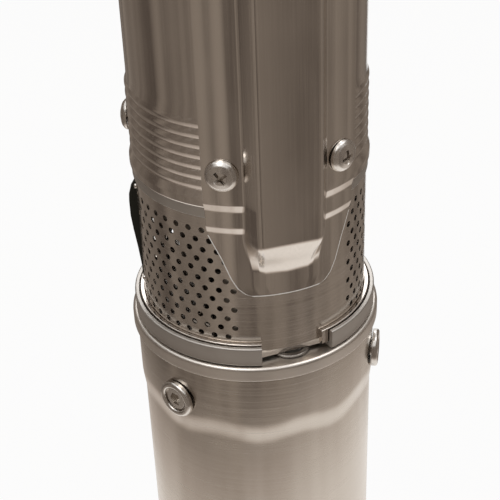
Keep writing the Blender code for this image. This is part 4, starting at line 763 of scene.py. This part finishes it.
def screen_seam():
    """The screen's two turned-out ends, side by side, highest under the shell, with a rivet at each end."""
    outline = [(SCREEN_RADIUS - 0.3 * MM, MOTOR_TOP + up * MM) for up, _ in SEAM_LINE]
    outline += [(SCREEN_RADIUS + proud * MM, MOTOR_TOP + up * MM) for up, proud in reversed(SEAM_LINE)]
    leaves = []
    for side in (-1, 1):
        leaf = prism("leaf", outline, -SCREEN_SHEET / 2, SCREEN_SHEET / 2)
        leaf.transform(LAID)
        leaf.transform(about(SCREEN_SEAM - 90))
        leaves.append((leaf, about(side * LEAF_TURN)))
    mesh = joined("screen_seam", leaves)
    # The seam's leaves are near-black: painted dark reflection and shade
    made = piece("screen_seam", mesh, [], SEAM_DARK_REFLECTION)
    edge = made.modifiers.new("Edges", "BEVEL")
    edge.width = 0.15 * MM
    edge.segments = 2
    made.modifiers.move(1, 0)
    profile = in_mm([(0, 0.8, 0), (0.9, 0.6, 0.5), (1.1, -0.3, 0), (0, -0.3, 0)])
    dome = turned("rivet", profile, 20, closed=False)
    heights = (MOTOR_TOP + 57.6 * MM, MOTOR_TOP + 16 * MM)
    places = [(dome, outward(SCREEN_SEAM + RIVET_TURN, SCREEN_RADIUS, height)) for height in heights]
    piece("seam_rivets", joined("seam_rivets", places), [], BRIGHT)


def screen_ring():
    """Split ring round the foot of the screen."""
    bottom = PLATE_TOP + GAP
    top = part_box("strainer_ring")[1].z
    outline = [
        (46.3 * MM, top, 0.35 * MM),
        (46.3 * MM, bottom, 0.1 * MM),
        (SCREEN_RADIUS + 0.1 * MM, bottom, 0.1 * MM),
        (SCREEN_RADIUS + 0.1 * MM, top, 0.35 * MM),
    ]
    mesh = lathe("screen_ring", softened(outline), SCREEN_RING_START, NOTCH[0] + 360.0)
    piece("screen_ring", mesh, ["strainer_ring"], DRAWN)


# Pump end


def rib_line(seam, up, ribs):
    """Skin of one shell end from its seam inwards: flared band, then rolled ribs; up is 1 or -1."""
    root = SHELL_RADIUS + 0.15 * MM
    pitch = 4 * MM
    first = 8.3 * MM
    lower_part = 0.64
    corners = [
        (BAND_RADIUS - 0.25 * MM, seam + up * GAP, 0.1 * MM),
        (BAND_RADIUS, seam + up * (GAP + 0.5 * MM), 0.3 * MM),
        (BAND_RADIUS, seam + up * 3.4 * MM, 1.5 * MM),
        (root, seam + up * 6.2 * MM, 0.8 * MM),
    ]
    points = softened(corners, closed=False)
    steps = 12
    for rib in range(ribs):
        for step in range(steps):
            share = step / steps
            below = share if up > 0 else 1.0 - share
            if below < lower_part:
                off = 1.0 - below / lower_part
            else:
                off = (below - lower_part) / (1.0 - lower_part)
            round_crest = 1.0 - off ** 1.25
            height = first + (rib - 0.5 + share) * pitch
            points.append(Vector((root + (RIB_CREST - root) * round_crest, seam + up * height)))
    points.append(Vector((root, seam + up * (first + (ribs - 0.5) * pitch))))
    points.append(Vector((SHELL_RADIUS, seam + up * (first + (ribs + 0.5) * pitch))))
    return points


def stage_shell():
    """Thin tube with a flared band and rolled ribs at both ends."""
    lower = rib_line(SEAM, 1, 7)
    upper = rib_line(TOP_SEAM, -1, 4)
    flare = BAND_RADIUS - SHELL_WALL
    bore = SHELL_RADIUS - SHELL_WALL
    inner = [
        Vector((flare, SEAM + GAP)),
        Vector((flare, SEAM + 3 * MM)),
        Vector((bore, SEAM + 5.8 * MM)),
        Vector((bore, TOP_SEAM - 5.8 * MM)),
        Vector((flare, TOP_SEAM - 3 * MM)),
        Vector((flare, TOP_SEAM - GAP)),
    ]
    mesh = lathe("stage_shell", lower[::-1] + inner + upper)
    piece("stage_shell", mesh, ["pump_shell"], DRAWN)


# Cable guard, with heights over the motor's top

# Height in millimetres and half of the guard's angle in degrees, from the top down
GUARD_EDGE = ((60.0, 36.5), (55.6, 36.3), (46.4, 30.5), (37.5, 26.2), (33.6, 23.4), (31.2, 20.0),
              (30.1, 16.0))

GUARD_HALF_ANGLE = 36.5
GUARD_CHAMFER = 8 * MM
GUARD_CHAMFER_ANGLE = 7.5
GUARD_FACE = 11.6 * MM
GUARD_FOOT = 15.0 * MM
GUARD_FOOT_ANGLE = 19.5
GUARD_OVER_BAND = 0.9 * MM
GUARD_OVER_RING = 0.45 * MM
GUARD_OVER_SCREEN = 0.2 * MM
UPPER_JOGGLE = 3.7 * MM
UPPER_JOGGLE_LAP = 0.2 * MM
LOWER_JOGGLE = 3 * MM
LOWER_JOGGLE_FOOT = 56.8 * MM
# Width of the strip along the guard's outline; on the tapered sides and foot it carries a painted highlight
HIGHLIGHT_STRIP = 0.38 * MM
POCKET_TOP = 54.5 * MM
POCKET_BOTTOM = 40.0 * MM
POCKET_CORNER = 3.5 * MM

# Height of the screws inwards from each end of the shell
GUARD_SCREW_HEIGHT = 15.2 * MM


def guard_level(height):
    """Outer radius of the guard's flanges at a height over the motor: band, ring, then screen."""
    over_band = BAND_RADIUS + GUARD_OVER_BAND + GUARD_SHEET
    over_ring = RING_RADIUS + GUARD_OVER_RING + GUARD_SHEET
    over_screen = SCREEN_RADIUS + GUARD_OVER_SCREEN + GUARD_SHEET
    seam = SEAM - MOTOR_TOP
    upper = slant((height - (seam - UPPER_JOGGLE_LAP)) / UPPER_JOGGLE)
    lower = slant((height - LOWER_JOGGLE_FOOT) / LOWER_JOGGLE)
    return over_screen + (over_ring - over_screen) * lower + (over_band - over_ring) * upper


def guard_half_angle(height):
    """Half of the guard's angle at a height: chamfered top, parallel sides, tapered and rounded foot."""
    top = GUARD_TOP - MOTOR_TOP
    start = top - GUARD_CHAMFER
    if height > start:
        return GUARD_HALF_ANGLE - GUARD_CHAMFER_ANGLE * (height - start) / GUARD_CHAMFER
    millimetres = height / MM
    for (above, wide), (below, narrow) in zip(GUARD_EDGE, GUARD_EDGE[1:]):
        if millimetres >= above:
            return wide
        if millimetres > below:
            return narrow + (wide - narrow) * (millimetres - below) / (above - below)
    return GUARD_EDGE[-1][1]


def guard_heights():
    """Heights of the sections, close together where the form changes."""
    top = GUARD_TOP - MOTOR_TOP
    even_above, formed_below = 74 * MM, 70 * MM
    heights = [top] + [top - GUARD_CHAMFER - step * 24 * MM for step in range(11)]
    heights = [height for height in heights if height > even_above]
    height = even_above
    bottom = GUARD_BOTTOM - MOTOR_TOP
    while height > bottom + 1.2 * MM:
        heights.append(height)
        height -= 0.4 * MM if height < formed_below else 1.5 * MM
    heights += [bottom + 1 * MM, bottom + HIGHLIGHT_STRIP, bottom]
    return heights


def pocket_rise(height, across):
    """How far the channel stands out: 1 above the sloped foot, 0 below it; across is 1 at its side."""
    bottom = POCKET_BOTTOM + POCKET_CORNER * abs(across) ** 4
    share = (height - bottom) / (POCKET_TOP - bottom)
    return 0.75 * slant(share, 0.08) + 0.25 * ease(share)


def guard_section(height):
    """Half of the hat section, from its middle to the flange's edge, as (x, y) points."""
    level = guard_level(height)
    half_angle = guard_half_angle(height)
    rise = pocket_rise(height, 0.0)
    foot_angle = min(GUARD_FOOT_ANGLE, half_angle * 0.8)
    narrow = foot_angle / GUARD_FOOT_ANGLE * (0.84 + 0.16 * rise)
    foot = GUARD_FOOT * narrow
    foot_y = math.sqrt(level * level - foot * foot)
    flange = math.radians(foot_angle + 3.0)
    corners = [
        (0.0, GUARD_FRONT, 0),
        (GUARD_FACE * narrow, GUARD_FRONT, 2.6 * MM),
        (foot, foot_y, 1.6 * MM),
        (level * math.sin(flange), level * math.cos(flange), 0),
    ]
    points = []
    for x, front in softened(corners, closed=False):
        base = math.sqrt(level * level - x * x)
        points.append((x, -(base + (front - base) * pocket_rise(height, x / foot))))
    steps = 6
    start = math.degrees(flange)
    strip = min(math.degrees(HIGHLIGHT_STRIP / level), 0.6 * (half_angle - start))
    inset = half_angle - strip
    for turn in [start + (inset - start) * step / steps for step in range(1, steps + 1)] + [half_angle]:
        points.append(spot(turn, level, height)[:2])
    return points


def guard_channel():
    """Pressed sheet over the cable: channel, flanges, two joggles and a closed foot."""
    sheet = bmesh.new()
    rows = []
    heights = guard_heights()
    for height in heights:
        half = guard_section(height)
        whole = [(-x, y) for x, y in reversed(half[1:])] + half
        rows.append([sheet.verts.new((x, y, MOTOR_TOP + height)) for x, y in whole])
    last = len(rows[0]) - 2
    for height, upper, lower in zip(heights, rows, rows[1:]):
        for index in range(last + 1):
            face = sheet.faces.new((upper[index], lower[index], lower[index + 1], upper[index + 1]))
            # Strips along the tapered sides and the foot take the second slot: a painted highlight
            tapered = height < GUARD_EDGE[1][0] * MM and index in (0, last)
            face.material_index = 1 if tapered or lower is rows[-1] else 0
    mesh = mesh_from("guard_channel", sheet)
    middle = mesh.polygons[len(mesh.polygons) // 2]
    if middle.normal.y > 0:
        mesh.flip_normals()
    mesh = sheet_solid("guard_channel", mesh, GUARD_SHEET, GUARD_STEEL, 0.39 * MM)
    piece("guard_channel", mesh, ["cable_guard"], GUARD_STEEL)


def cross_recess():
    """Tapered cross that is cut into a pan head."""
    arm = 3.6 * MM
    half = 0.72 * MM
    outline = []
    for quarter in range(4):
        turn = Matrix.Rotation(math.radians(90 * quarter), 2)
        for x, y in ((arm, -half), (arm, half), (half, half)):
            outline.append(tuple(turn @ Vector((x, y))))
    return prism("cross_recess", outline, 0.9 * MM, 4 * MM, 0.45)


def pan_screws():
    """Pan-head screws with a cross recess, on the guard and on the shell."""
    head = 6.1
    outline = in_mm([
        (0, 3.0, 0),
        (head * 0.40, 2.9, 1),
        (head * 0.74, 2.3, 2),
        (head * 0.95, 1.2, 1.5),
        (head, 0, 0.2),
        (2.2, 0, 0),
        (2.2, -6.5, 0.4),
        (0, -6.5, 0),
    ])
    body = turned("pan_screw", outline, SCREW_SIDES, closed=False)
    mesh = applied(body, [("DIFFERENCE", cross_recess())])
    seat = BAND_RADIUS + GUARD_OVER_BAND + 0.15 * MM + GUARD_SHEET
    lock_seat = RIB_CREST + GAP
    heights = (SEAM + GUARD_SCREW_HEIGHT, TOP_SEAM - GUARD_SCREW_HEIGHT)
    sides = (-GUARD_SCREW_ANGLE, GUARD_SCREW_ANGLE)
    places = [(angle, seat, height) for height in heights for angle in sides]
    places += [(angle, lock_seat, heights[0]) for angle in (-LOCK_SCREW_ANGLE, LOCK_SCREW_ANGLE)]
    names = [f"guard_screw_{number}" for number in (1, 2, 3, 4)]
    names += [f"shell_lock_screw_{number}" for number in (1, 2)]
    twists = (38, 8, 62, 20, 75, 50)
    for node, place, twist in zip(names, places, twists):
        copy = mesh.copy()
        copy.transform(outward(*place) @ about(twist))
        piece(f"cross_{node}", copy, [node], BRIGHT)


# Outlet


THREAD_PITCH = 2.3 * MM
THREAD_DEPTH = 1.2 * MM
SOCKET_LENGTH = 22 * MM
NECK_RADIUS = 31 * MM
LUG_CENTRE = 37.5 * MM
LUG_REACH = 44 * MM
LUG_HEIGHT = 32 * MM
LUG_HOLE = 4.5 * MM


def outlet_casting():
    """Outlet head: spigot, valve seat and chamber, cone, neck and two rope eyelets."""
    base = TOP_SEAM
    neck_top = HEAD_TOP - SOCKET_LENGTH - GAP
    corners = [
        (29 * MM, neck_top, 0.3 * MM),
        (29 * MM, neck_top - 2.7 * MM, 0),
        (27 * MM, neck_top - 2.7 * MM, 0),
        (27 * MM, base + 2 * MM, 0.5 * MM),
        (17 * MM, base - 4 * MM, 0.3 * MM),
        (17 * MM, base - 8 * MM, 0),
        (SPIGOT_RADIUS - 4 * MM, base - 16 * MM, 0),
        (SPIGOT_RADIUS - 4 * MM, base - 30 * MM, 0.3 * MM),
        (SPIGOT_RADIUS, base - 30 * MM, 0.5 * MM),
        (SPIGOT_RADIUS, base, 0),
        (RING_RADIUS, base, 0.5 * MM),
        (RING_RADIUS, base + 12 * MM, 3 * MM),
        (NECK_RADIUS, base + 28 * MM, 5 * MM),
        (NECK_RADIUS, neck_top, 0.3 * MM),
    ]
    body = turned("outlet_casting", corners)
    profile = [(0.0, 6 * MM, 0), (LUG_HOLE, 6 * MM, 0), (LUG_HOLE, -6 * MM, 0), (0.0, -6 * MM, 0)]
    hole = turned("hole", profile, 32, closed=False)
    holes = []
    for side in (1, -1):
        holes.append((hole, Matrix.Translation((side * LUG_CENTRE, 0.0, base + LUG_HEIGHT)) @ LAID))
    steps = [("UNION", rope_lug(1)), ("UNION", rope_lug(-1)), ("DIFFERENCE", joined("holes", holes))]
    piece("outlet_casting", applied(body, steps), ["discharge_head"], CAST)


def rope_lug(side):
    """Upright lug for the rope, rounded at its top and clear of the socket above the neck."""
    seam = HEAD_TOP - SOCKET_LENGTH - GAP - TOP_SEAM
    inside, foot = 30 * MM, 11 * MM
    bend = LUG_REACH - LUG_CENTRE
    corners = [(inside, foot), (LUG_REACH, foot)]
    for step in range(13):
        angle = math.radians(step * 10)
        corners.append((LUG_CENTRE + bend * math.cos(angle), LUG_HEIGHT + bend * math.sin(angle)))
    corners += [(NECK_RADIUS + GAP, seam + 1.8 * MM), (NECK_RADIUS + GAP, seam), (inside, seam)]
    holder = linked("lug", prism("lug", corners, -3 * MM, 3 * MM))
    bevelled(holder, 0.8 * MM)
    mesh = evaluated(holder)
    turn = about(0 if side > 0 else 180)
    mesh.transform(Matrix.Translation((0.0, 0.0, TOP_SEAM)) @ turn @ LAID)
    return mesh


def outlet_socket():
    """Hexagon socket with a pipe thread, let into the head's neck."""
    top = HEAD_TOP
    bore = 22.4 * MM
    low = top - SOCKET_LENGTH
    corners = [
        (bore, low, 0),
        (bore, low - 2.7 * MM, 0.3 * MM),
        (28.7 * MM, low - 2.7 * MM, 0.3 * MM),
        (28.7 * MM, low, 0),
        (NECK_RADIUS, low, 0.3 * MM),
        (NECK_RADIUS, top, 1 * MM),
        (bore + 1 * MM, top, 0.4 * MM),
    ]
    outline = softened(corners, closed=False)
    turns = 8
    steps = round(SOCKET_LENGTH / THREAD_PITCH * turns)
    for step in range(1, steps):
        outline.append(Vector((bore, top - SOCKET_LENGTH * step / steps)))

    def thread(turn, radius, height):
        if abs(radius - bore) > TINY or height < low:
            return 0.0
        share = ((height - low) / THREAD_PITCH - turn / 360.0) % 1.0
        fade = min(1.0, (height - low) / THREAD_PITCH, (top - height) / THREAD_PITCH * 2)
        return -THREAD_DEPTH * abs(2 * share - 1) * max(0.0, fade)

    body = lathe("outlet_socket", outline, push=thread)
    corner = 32 / math.cos(math.radians(30))
    hexagon = prism("hexagon", ring_of(corner * MM, 6), top - 19 * MM, top - 2 * MM)
    slope = in_mm([
        (25, -19.5, 0),
        (34.5, -19.5, 0),
        (corner + 0.5, -17, 0),
        (corner + 0.5, -4, 0),
        (34.5, -1.5, 0),
        (25, -1.5, 0),
    ], top)
    chamfer = turned("chamfer", slope)
    collar = applied(hexagon, [("INTERSECT", chamfer)])
    made = applied(body, [("UNION", collar)])
    piece("outlet_pipe_socket", made, ["outlet_socket"], CAST)


def outlet_guide():
    """Disc with four round openings that guides the valve's stem."""
    low, high = (corner.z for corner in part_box("valve_guide"))
    outline = [
        (26.7 * MM, high, 0.4 * MM),
        (26.7 * MM, low, 0.4 * MM),
        (3.3 * MM, low, 0),
        (3.3 * MM, high - 1 * MM, 0),
        (3.6 * MM, high, 0.3 * MM),
    ]
    disc = turned("outlet_guide", outline)
    slot = prism("slot", ring_of(7.2 * MM, 28), low - 2 * MM, high + 2 * MM)
    slots = joined("slots", [(slot, upright(45 + 90 * index, 15.5 * MM, 0.0)) for index in range(4)])
    guide = applied(disc, [("DIFFERENCE", slots)])
    piece("outlet_guide", guide, ["valve_guide"], CAST)


def outlet_poppet():
    """Poppet of the check valve with its stem, seen down the outlet."""
    bottom, top = (corner.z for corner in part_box("valve_poppet"))
    crown = TOP_SEAM + 1.95 * MM
    rim = crown - 2.5 * MM
    outline = [
        (0.0, top, 0),
        (3 * MM, top, 0.8 * MM),
        (3 * MM, crown, 1.5 * MM),
        (22 * MM, crown, 0.6 * MM),
        (22 * MM, rim, 0.3 * MM),
        (16 * MM, bottom, 0.5 * MM),
        (0.0, bottom, 0),
    ]
    mesh = turned("outlet_poppet", outline, 96, closed=False)
    piece("outlet_poppet", mesh, ["valve_poppet"], BRONZE, body="check_valve")


SPRING_RADIUS = 7 * MM
SPRING_WIRE = 0.6 * MM
SPRING_TURNS = 4


def outlet_spring():
    """Coil spring with closed ends between guide and poppet, built at one length; the real one shortens as
    the valve lifts.
    """
    low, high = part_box("valve_spring")
    bottom = low.z + SPRING_WIRE
    rise = high.z - SPRING_WIRE - bottom
    steps = SPRING_TURNS * 40
    sides = 12
    sheet = bmesh.new()
    loops = []
    for step in range(steps + 1):
        turn = 2 * math.pi * SPRING_TURNS * step / steps
        height = bottom + rise * slant((step / steps - 0.12) / 0.76, 0.05)
        out = Vector((math.cos(turn), math.sin(turn), 0.0))
        middle = out * SPRING_RADIUS + Z_AXIS * height
        loop = []
        for side in range(sides):
            angle = 2 * math.pi * side / sides
            towards = out * math.cos(angle) + Z_AXIS * math.sin(angle)
            loop.append(sheet.verts.new(middle + SPRING_WIRE * towards))
        loops.append(loop)
    for here, there in zip(loops, loops[1:]):
        for side in range(sides):
            after = (side + 1) % sides
            sheet.faces.new((here[side], here[after], there[after], there[side]))
    sheet.faces.new(loops[0])
    sheet.faces.new(loops[-1])
    mesh = mesh_from("outlet_spring", sheet)
    made = piece("outlet_spring", mesh, ["valve_spring"], BRIGHT)
    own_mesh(made)


# Camera and studio

CAMERA_TURN = math.radians(-15.5)
CAMERA_DISTANCE = 403.35 * MM
CAMERA_RISE = 276.51 * MM
CAMERA_PITCH = math.radians(32.28)
CAMERA_PAN = math.radians(-0.18)
CAMERA_ROLL = math.radians(-2.25)
CAMERA_LENS = 85.63
CLIP_START = 0.02
SHADE_TURN = CAMERA_TURN - math.radians(50)
TABLE_NEAR = 0.28
TABLE_FAR = 0.40
ROOM_NEAR = 0.37
ROOM_FAR = 0.53
ROOM_WALL = 3.2
ROOM_HEIGHT = 3.0
ROOM_STEPS = 60
WHITE = (1.0, 1.0, 1.0, 1.0)
FLOOR_COLOUR = (0.88, 0.88, 0.88, 1.0)
FLOOR_GLOW = 0.92
SURROUNDINGS = (0.50, 0.475, 0.45, 1.0)
TABLE_LIGHT = (1.0, 0.96, 0.92)
TABLE_EDGE = (0.60, 0.53, 0.475)
ROOM_DARK = (0.085, 0.068, 0.058)
ROOM_LIGHT = (0.32, 0.275, 0.235)
LAMP_AIM = Vector((0.0, 0.0, 0.42))

# Where the room starts and ends, in degrees round the pump from the camera's side
ROOM_SPAN = (-172, 158)


def bare_material(name):
    """A material whose tree is empty, and calls for its nodes."""
    material = bpy.data.materials.new(name)
    material.use_nodes = True
    material.node_tree.nodes.clear()
    return material, Nodes(material.node_tree)


def floor_material():
    """Pale floor that the camera and reflections see as white, and that keeps a soft shadow."""
    material, nodes = bare_material("floor")
    matte = nodes.add("BsdfDiffuse", {"Color": FLOOR_COLOUR}).outputs["BSDF"]
    glow = nodes.add("Emission", {"Color": WHITE}).outputs["Emission"]
    share = nodes.math("MULTIPLY", nodes.seen_share(), FLOOR_GLOW)
    mixed = nodes.add("MixShader", {"Fac": share, 1: matte, 2: glow})
    nodes.add("OutputMaterial", {"Surface": mixed.outputs["Shader"]})
    return material


def room_material():
    """Dim warm room beyond the white table: light near the pump, dark from half a metre off."""
    material, nodes = bare_material("room")
    place = nodes.add("TexCoord", {}).outputs["Object"]
    flat = nodes.vector("MULTIPLY", place, (1.0, 1.0, 0.0)).outputs["Vector"]
    away = nodes.vector("LENGTH", flat).outputs["Value"]
    heading = nodes.vector("NORMALIZE", flat).outputs["Vector"]
    shaded_side = (math.sin(SHADE_TURN), -math.cos(SHADE_TURN), 0.0)
    ahead = nodes.vector("DOT_PRODUCT", heading, shaded_side).outputs["Value"]
    patches = nodes.add("TexNoise", {"Vector": heading, "Scale": 4.2, "Detail": 3.0}).outputs["Fac"]
    uneven = nodes.math("MULTIPLY_ADD", patches, 0.2, -0.11)
    nearer = nodes.math("MULTIPLY_ADD", ahead, 0.07, uneven)
    reach = nodes.math("ADD", away, nearer)
    dusk = nodes.remap(reach, TABLE_NEAR, TABLE_FAR, curve="SMOOTHSTEP")
    fade = nodes.remap(reach, ROOM_NEAR, ROOM_FAR, curve="SMOOTHSTEP")
    table = nodes.mix(dusk, TABLE_LIGHT, TABLE_EDGE)
    walls = nodes.mix(nodes.remap(patches, 0.35, 0.65), ROOM_DARK, ROOM_LIGHT)
    glow = nodes.add("Emission", {"Color": nodes.mix(fade, table, walls)})
    nodes.add("OutputMaterial", {"Surface": glow.outputs["Emission"]})
    return material


def room():
    """Floor and wall of a room almost all round the pump, which only reflections see."""
    sheet = bmesh.new()
    low = 2 * MM
    start = math.degrees(CAMERA_TURN) + ROOM_SPAN[0]
    step_angle = (ROOM_SPAN[1] - ROOM_SPAN[0]) / ROOM_STEPS
    turns = [start + step * step_angle for step in range(ROOM_STEPS + 1)]
    rings = [(radius, low) for radius in (0.09, ROOM_NEAR, ROOM_FAR, 1.2, ROOM_WALL)]
    rings.append((ROOM_WALL, ROOM_HEIGHT))
    rows = []
    for radius, height in rings:
        rows.append([sheet.verts.new(spot(turn, radius, height)) for turn in turns])
    skin(sheet, rows)
    mesh = bpy.data.meshes.new("studio_room")
    sheet.to_mesh(mesh)
    sheet.free()
    mesh.materials.append(room_material())
    card = linked("studio_room", mesh)
    card.visible_camera = False
    card.visible_shadow = False
    card.visible_diffuse = False


def surroundings():
    """World that lights the pump softly, and that the camera and reflections see as white."""
    world = bpy.data.worlds.new("studio")
    bpy.context.scene.world = world
    world.use_nodes = True
    nodes = Nodes(world.node_tree)
    back = world.node_tree.nodes["Background"]
    back.inputs["Color"].default_value = SURROUNDINGS
    back.inputs["Strength"].default_value = 1.0
    white = nodes.add("Background", {"Color": WHITE}).outputs["Background"]
    mixed = nodes.add("MixShader", {"Fac": nodes.seen_share(), 1: back.outputs["Background"], 2: white})
    nodes.link(mixed.outputs["Shader"], world.node_tree.nodes["World Output"].inputs["Surface"])


def soft_box(name, place, width, height, power):
    """Area lamp that faces the pump's middle."""
    lamp = bpy.data.lights.new(name, "AREA")
    lamp.shape = "RECTANGLE"
    lamp.size = width
    lamp.size_y = height
    lamp.energy = power
    holder = linked(name, lamp)
    holder.location = place
    aim = LAMP_AIM - Vector(place)
    holder.rotation_euler = aim.to_track_quat("-Z", "Y").to_euler()


def studio():
    """White floor and surroundings, a dim room round the pump and soft boxes."""
    bpy.ops.mesh.primitive_plane_add(size=12.0, location=(0.0, 0.0, 0.0))
    ground = bpy.context.object
    ground.name = "studio_floor"
    ground.data.materials.append(floor_material())
    room()
    surroundings()
    soft_box("key", (-0.7, -0.5, 2.1), 0.8, 0.8, 6.0)
    soft_box("fill", (0.8, -0.3, 2.0), 0.6, 0.8, 4.0)
    soft_box("back", (0.3, 1.2, 1.4), 1.0, 0.6, 4.0)


def camera():
    """Camera at the photograph's place: over the motor's rim, looking down past the guard."""
    pan, pitch = CAMERA_PAN, CAMERA_PITCH
    ahead = Vector((math.sin(pan) * math.cos(pitch), math.cos(pan) * math.cos(pitch), -math.sin(pitch)))
    level = ahead.cross(Z_AXIS).normalized()
    over = level.cross(ahead)
    right = level * math.cos(CAMERA_ROLL) + over * math.sin(CAMERA_ROLL)
    up = over * math.cos(CAMERA_ROLL) - level * math.sin(CAMERA_ROLL)
    basis = Matrix((right, up, -ahead)).transposed().to_4x4()
    place = Matrix.Translation((0.0, -CAMERA_DISTANCE, MOTOR_TOP + CAMERA_RISE))
    data = bpy.data.cameras.new("camera")
    data.lens = CAMERA_LENS
    data.clip_start = CLIP_START
    holder = linked("camera", data)
    holder.matrix_world = Matrix.Rotation(CAMERA_TURN, 4, "Z") @ place @ basis
    bpy.context.scene.camera = holder


def main():
    """Builds the camera, every piece and the studio."""
    camera()
    paint_nodes()
    motor_tube()
    motor_rim()
    motor_foot()
    socket_screws()
    lead_cap()
    intake_casting()
    intake_screen()
    screen_seam()
    screen_ring()
    stage_shell()
    guard_channel()
    pan_screws()
    outlet_casting()
    outlet_socket()
    outlet_guide()
    outlet_poppet()
    outlet_spring()
    studio()
    bpy.context.scene.view_settings.view_transform = "Standard"


main()
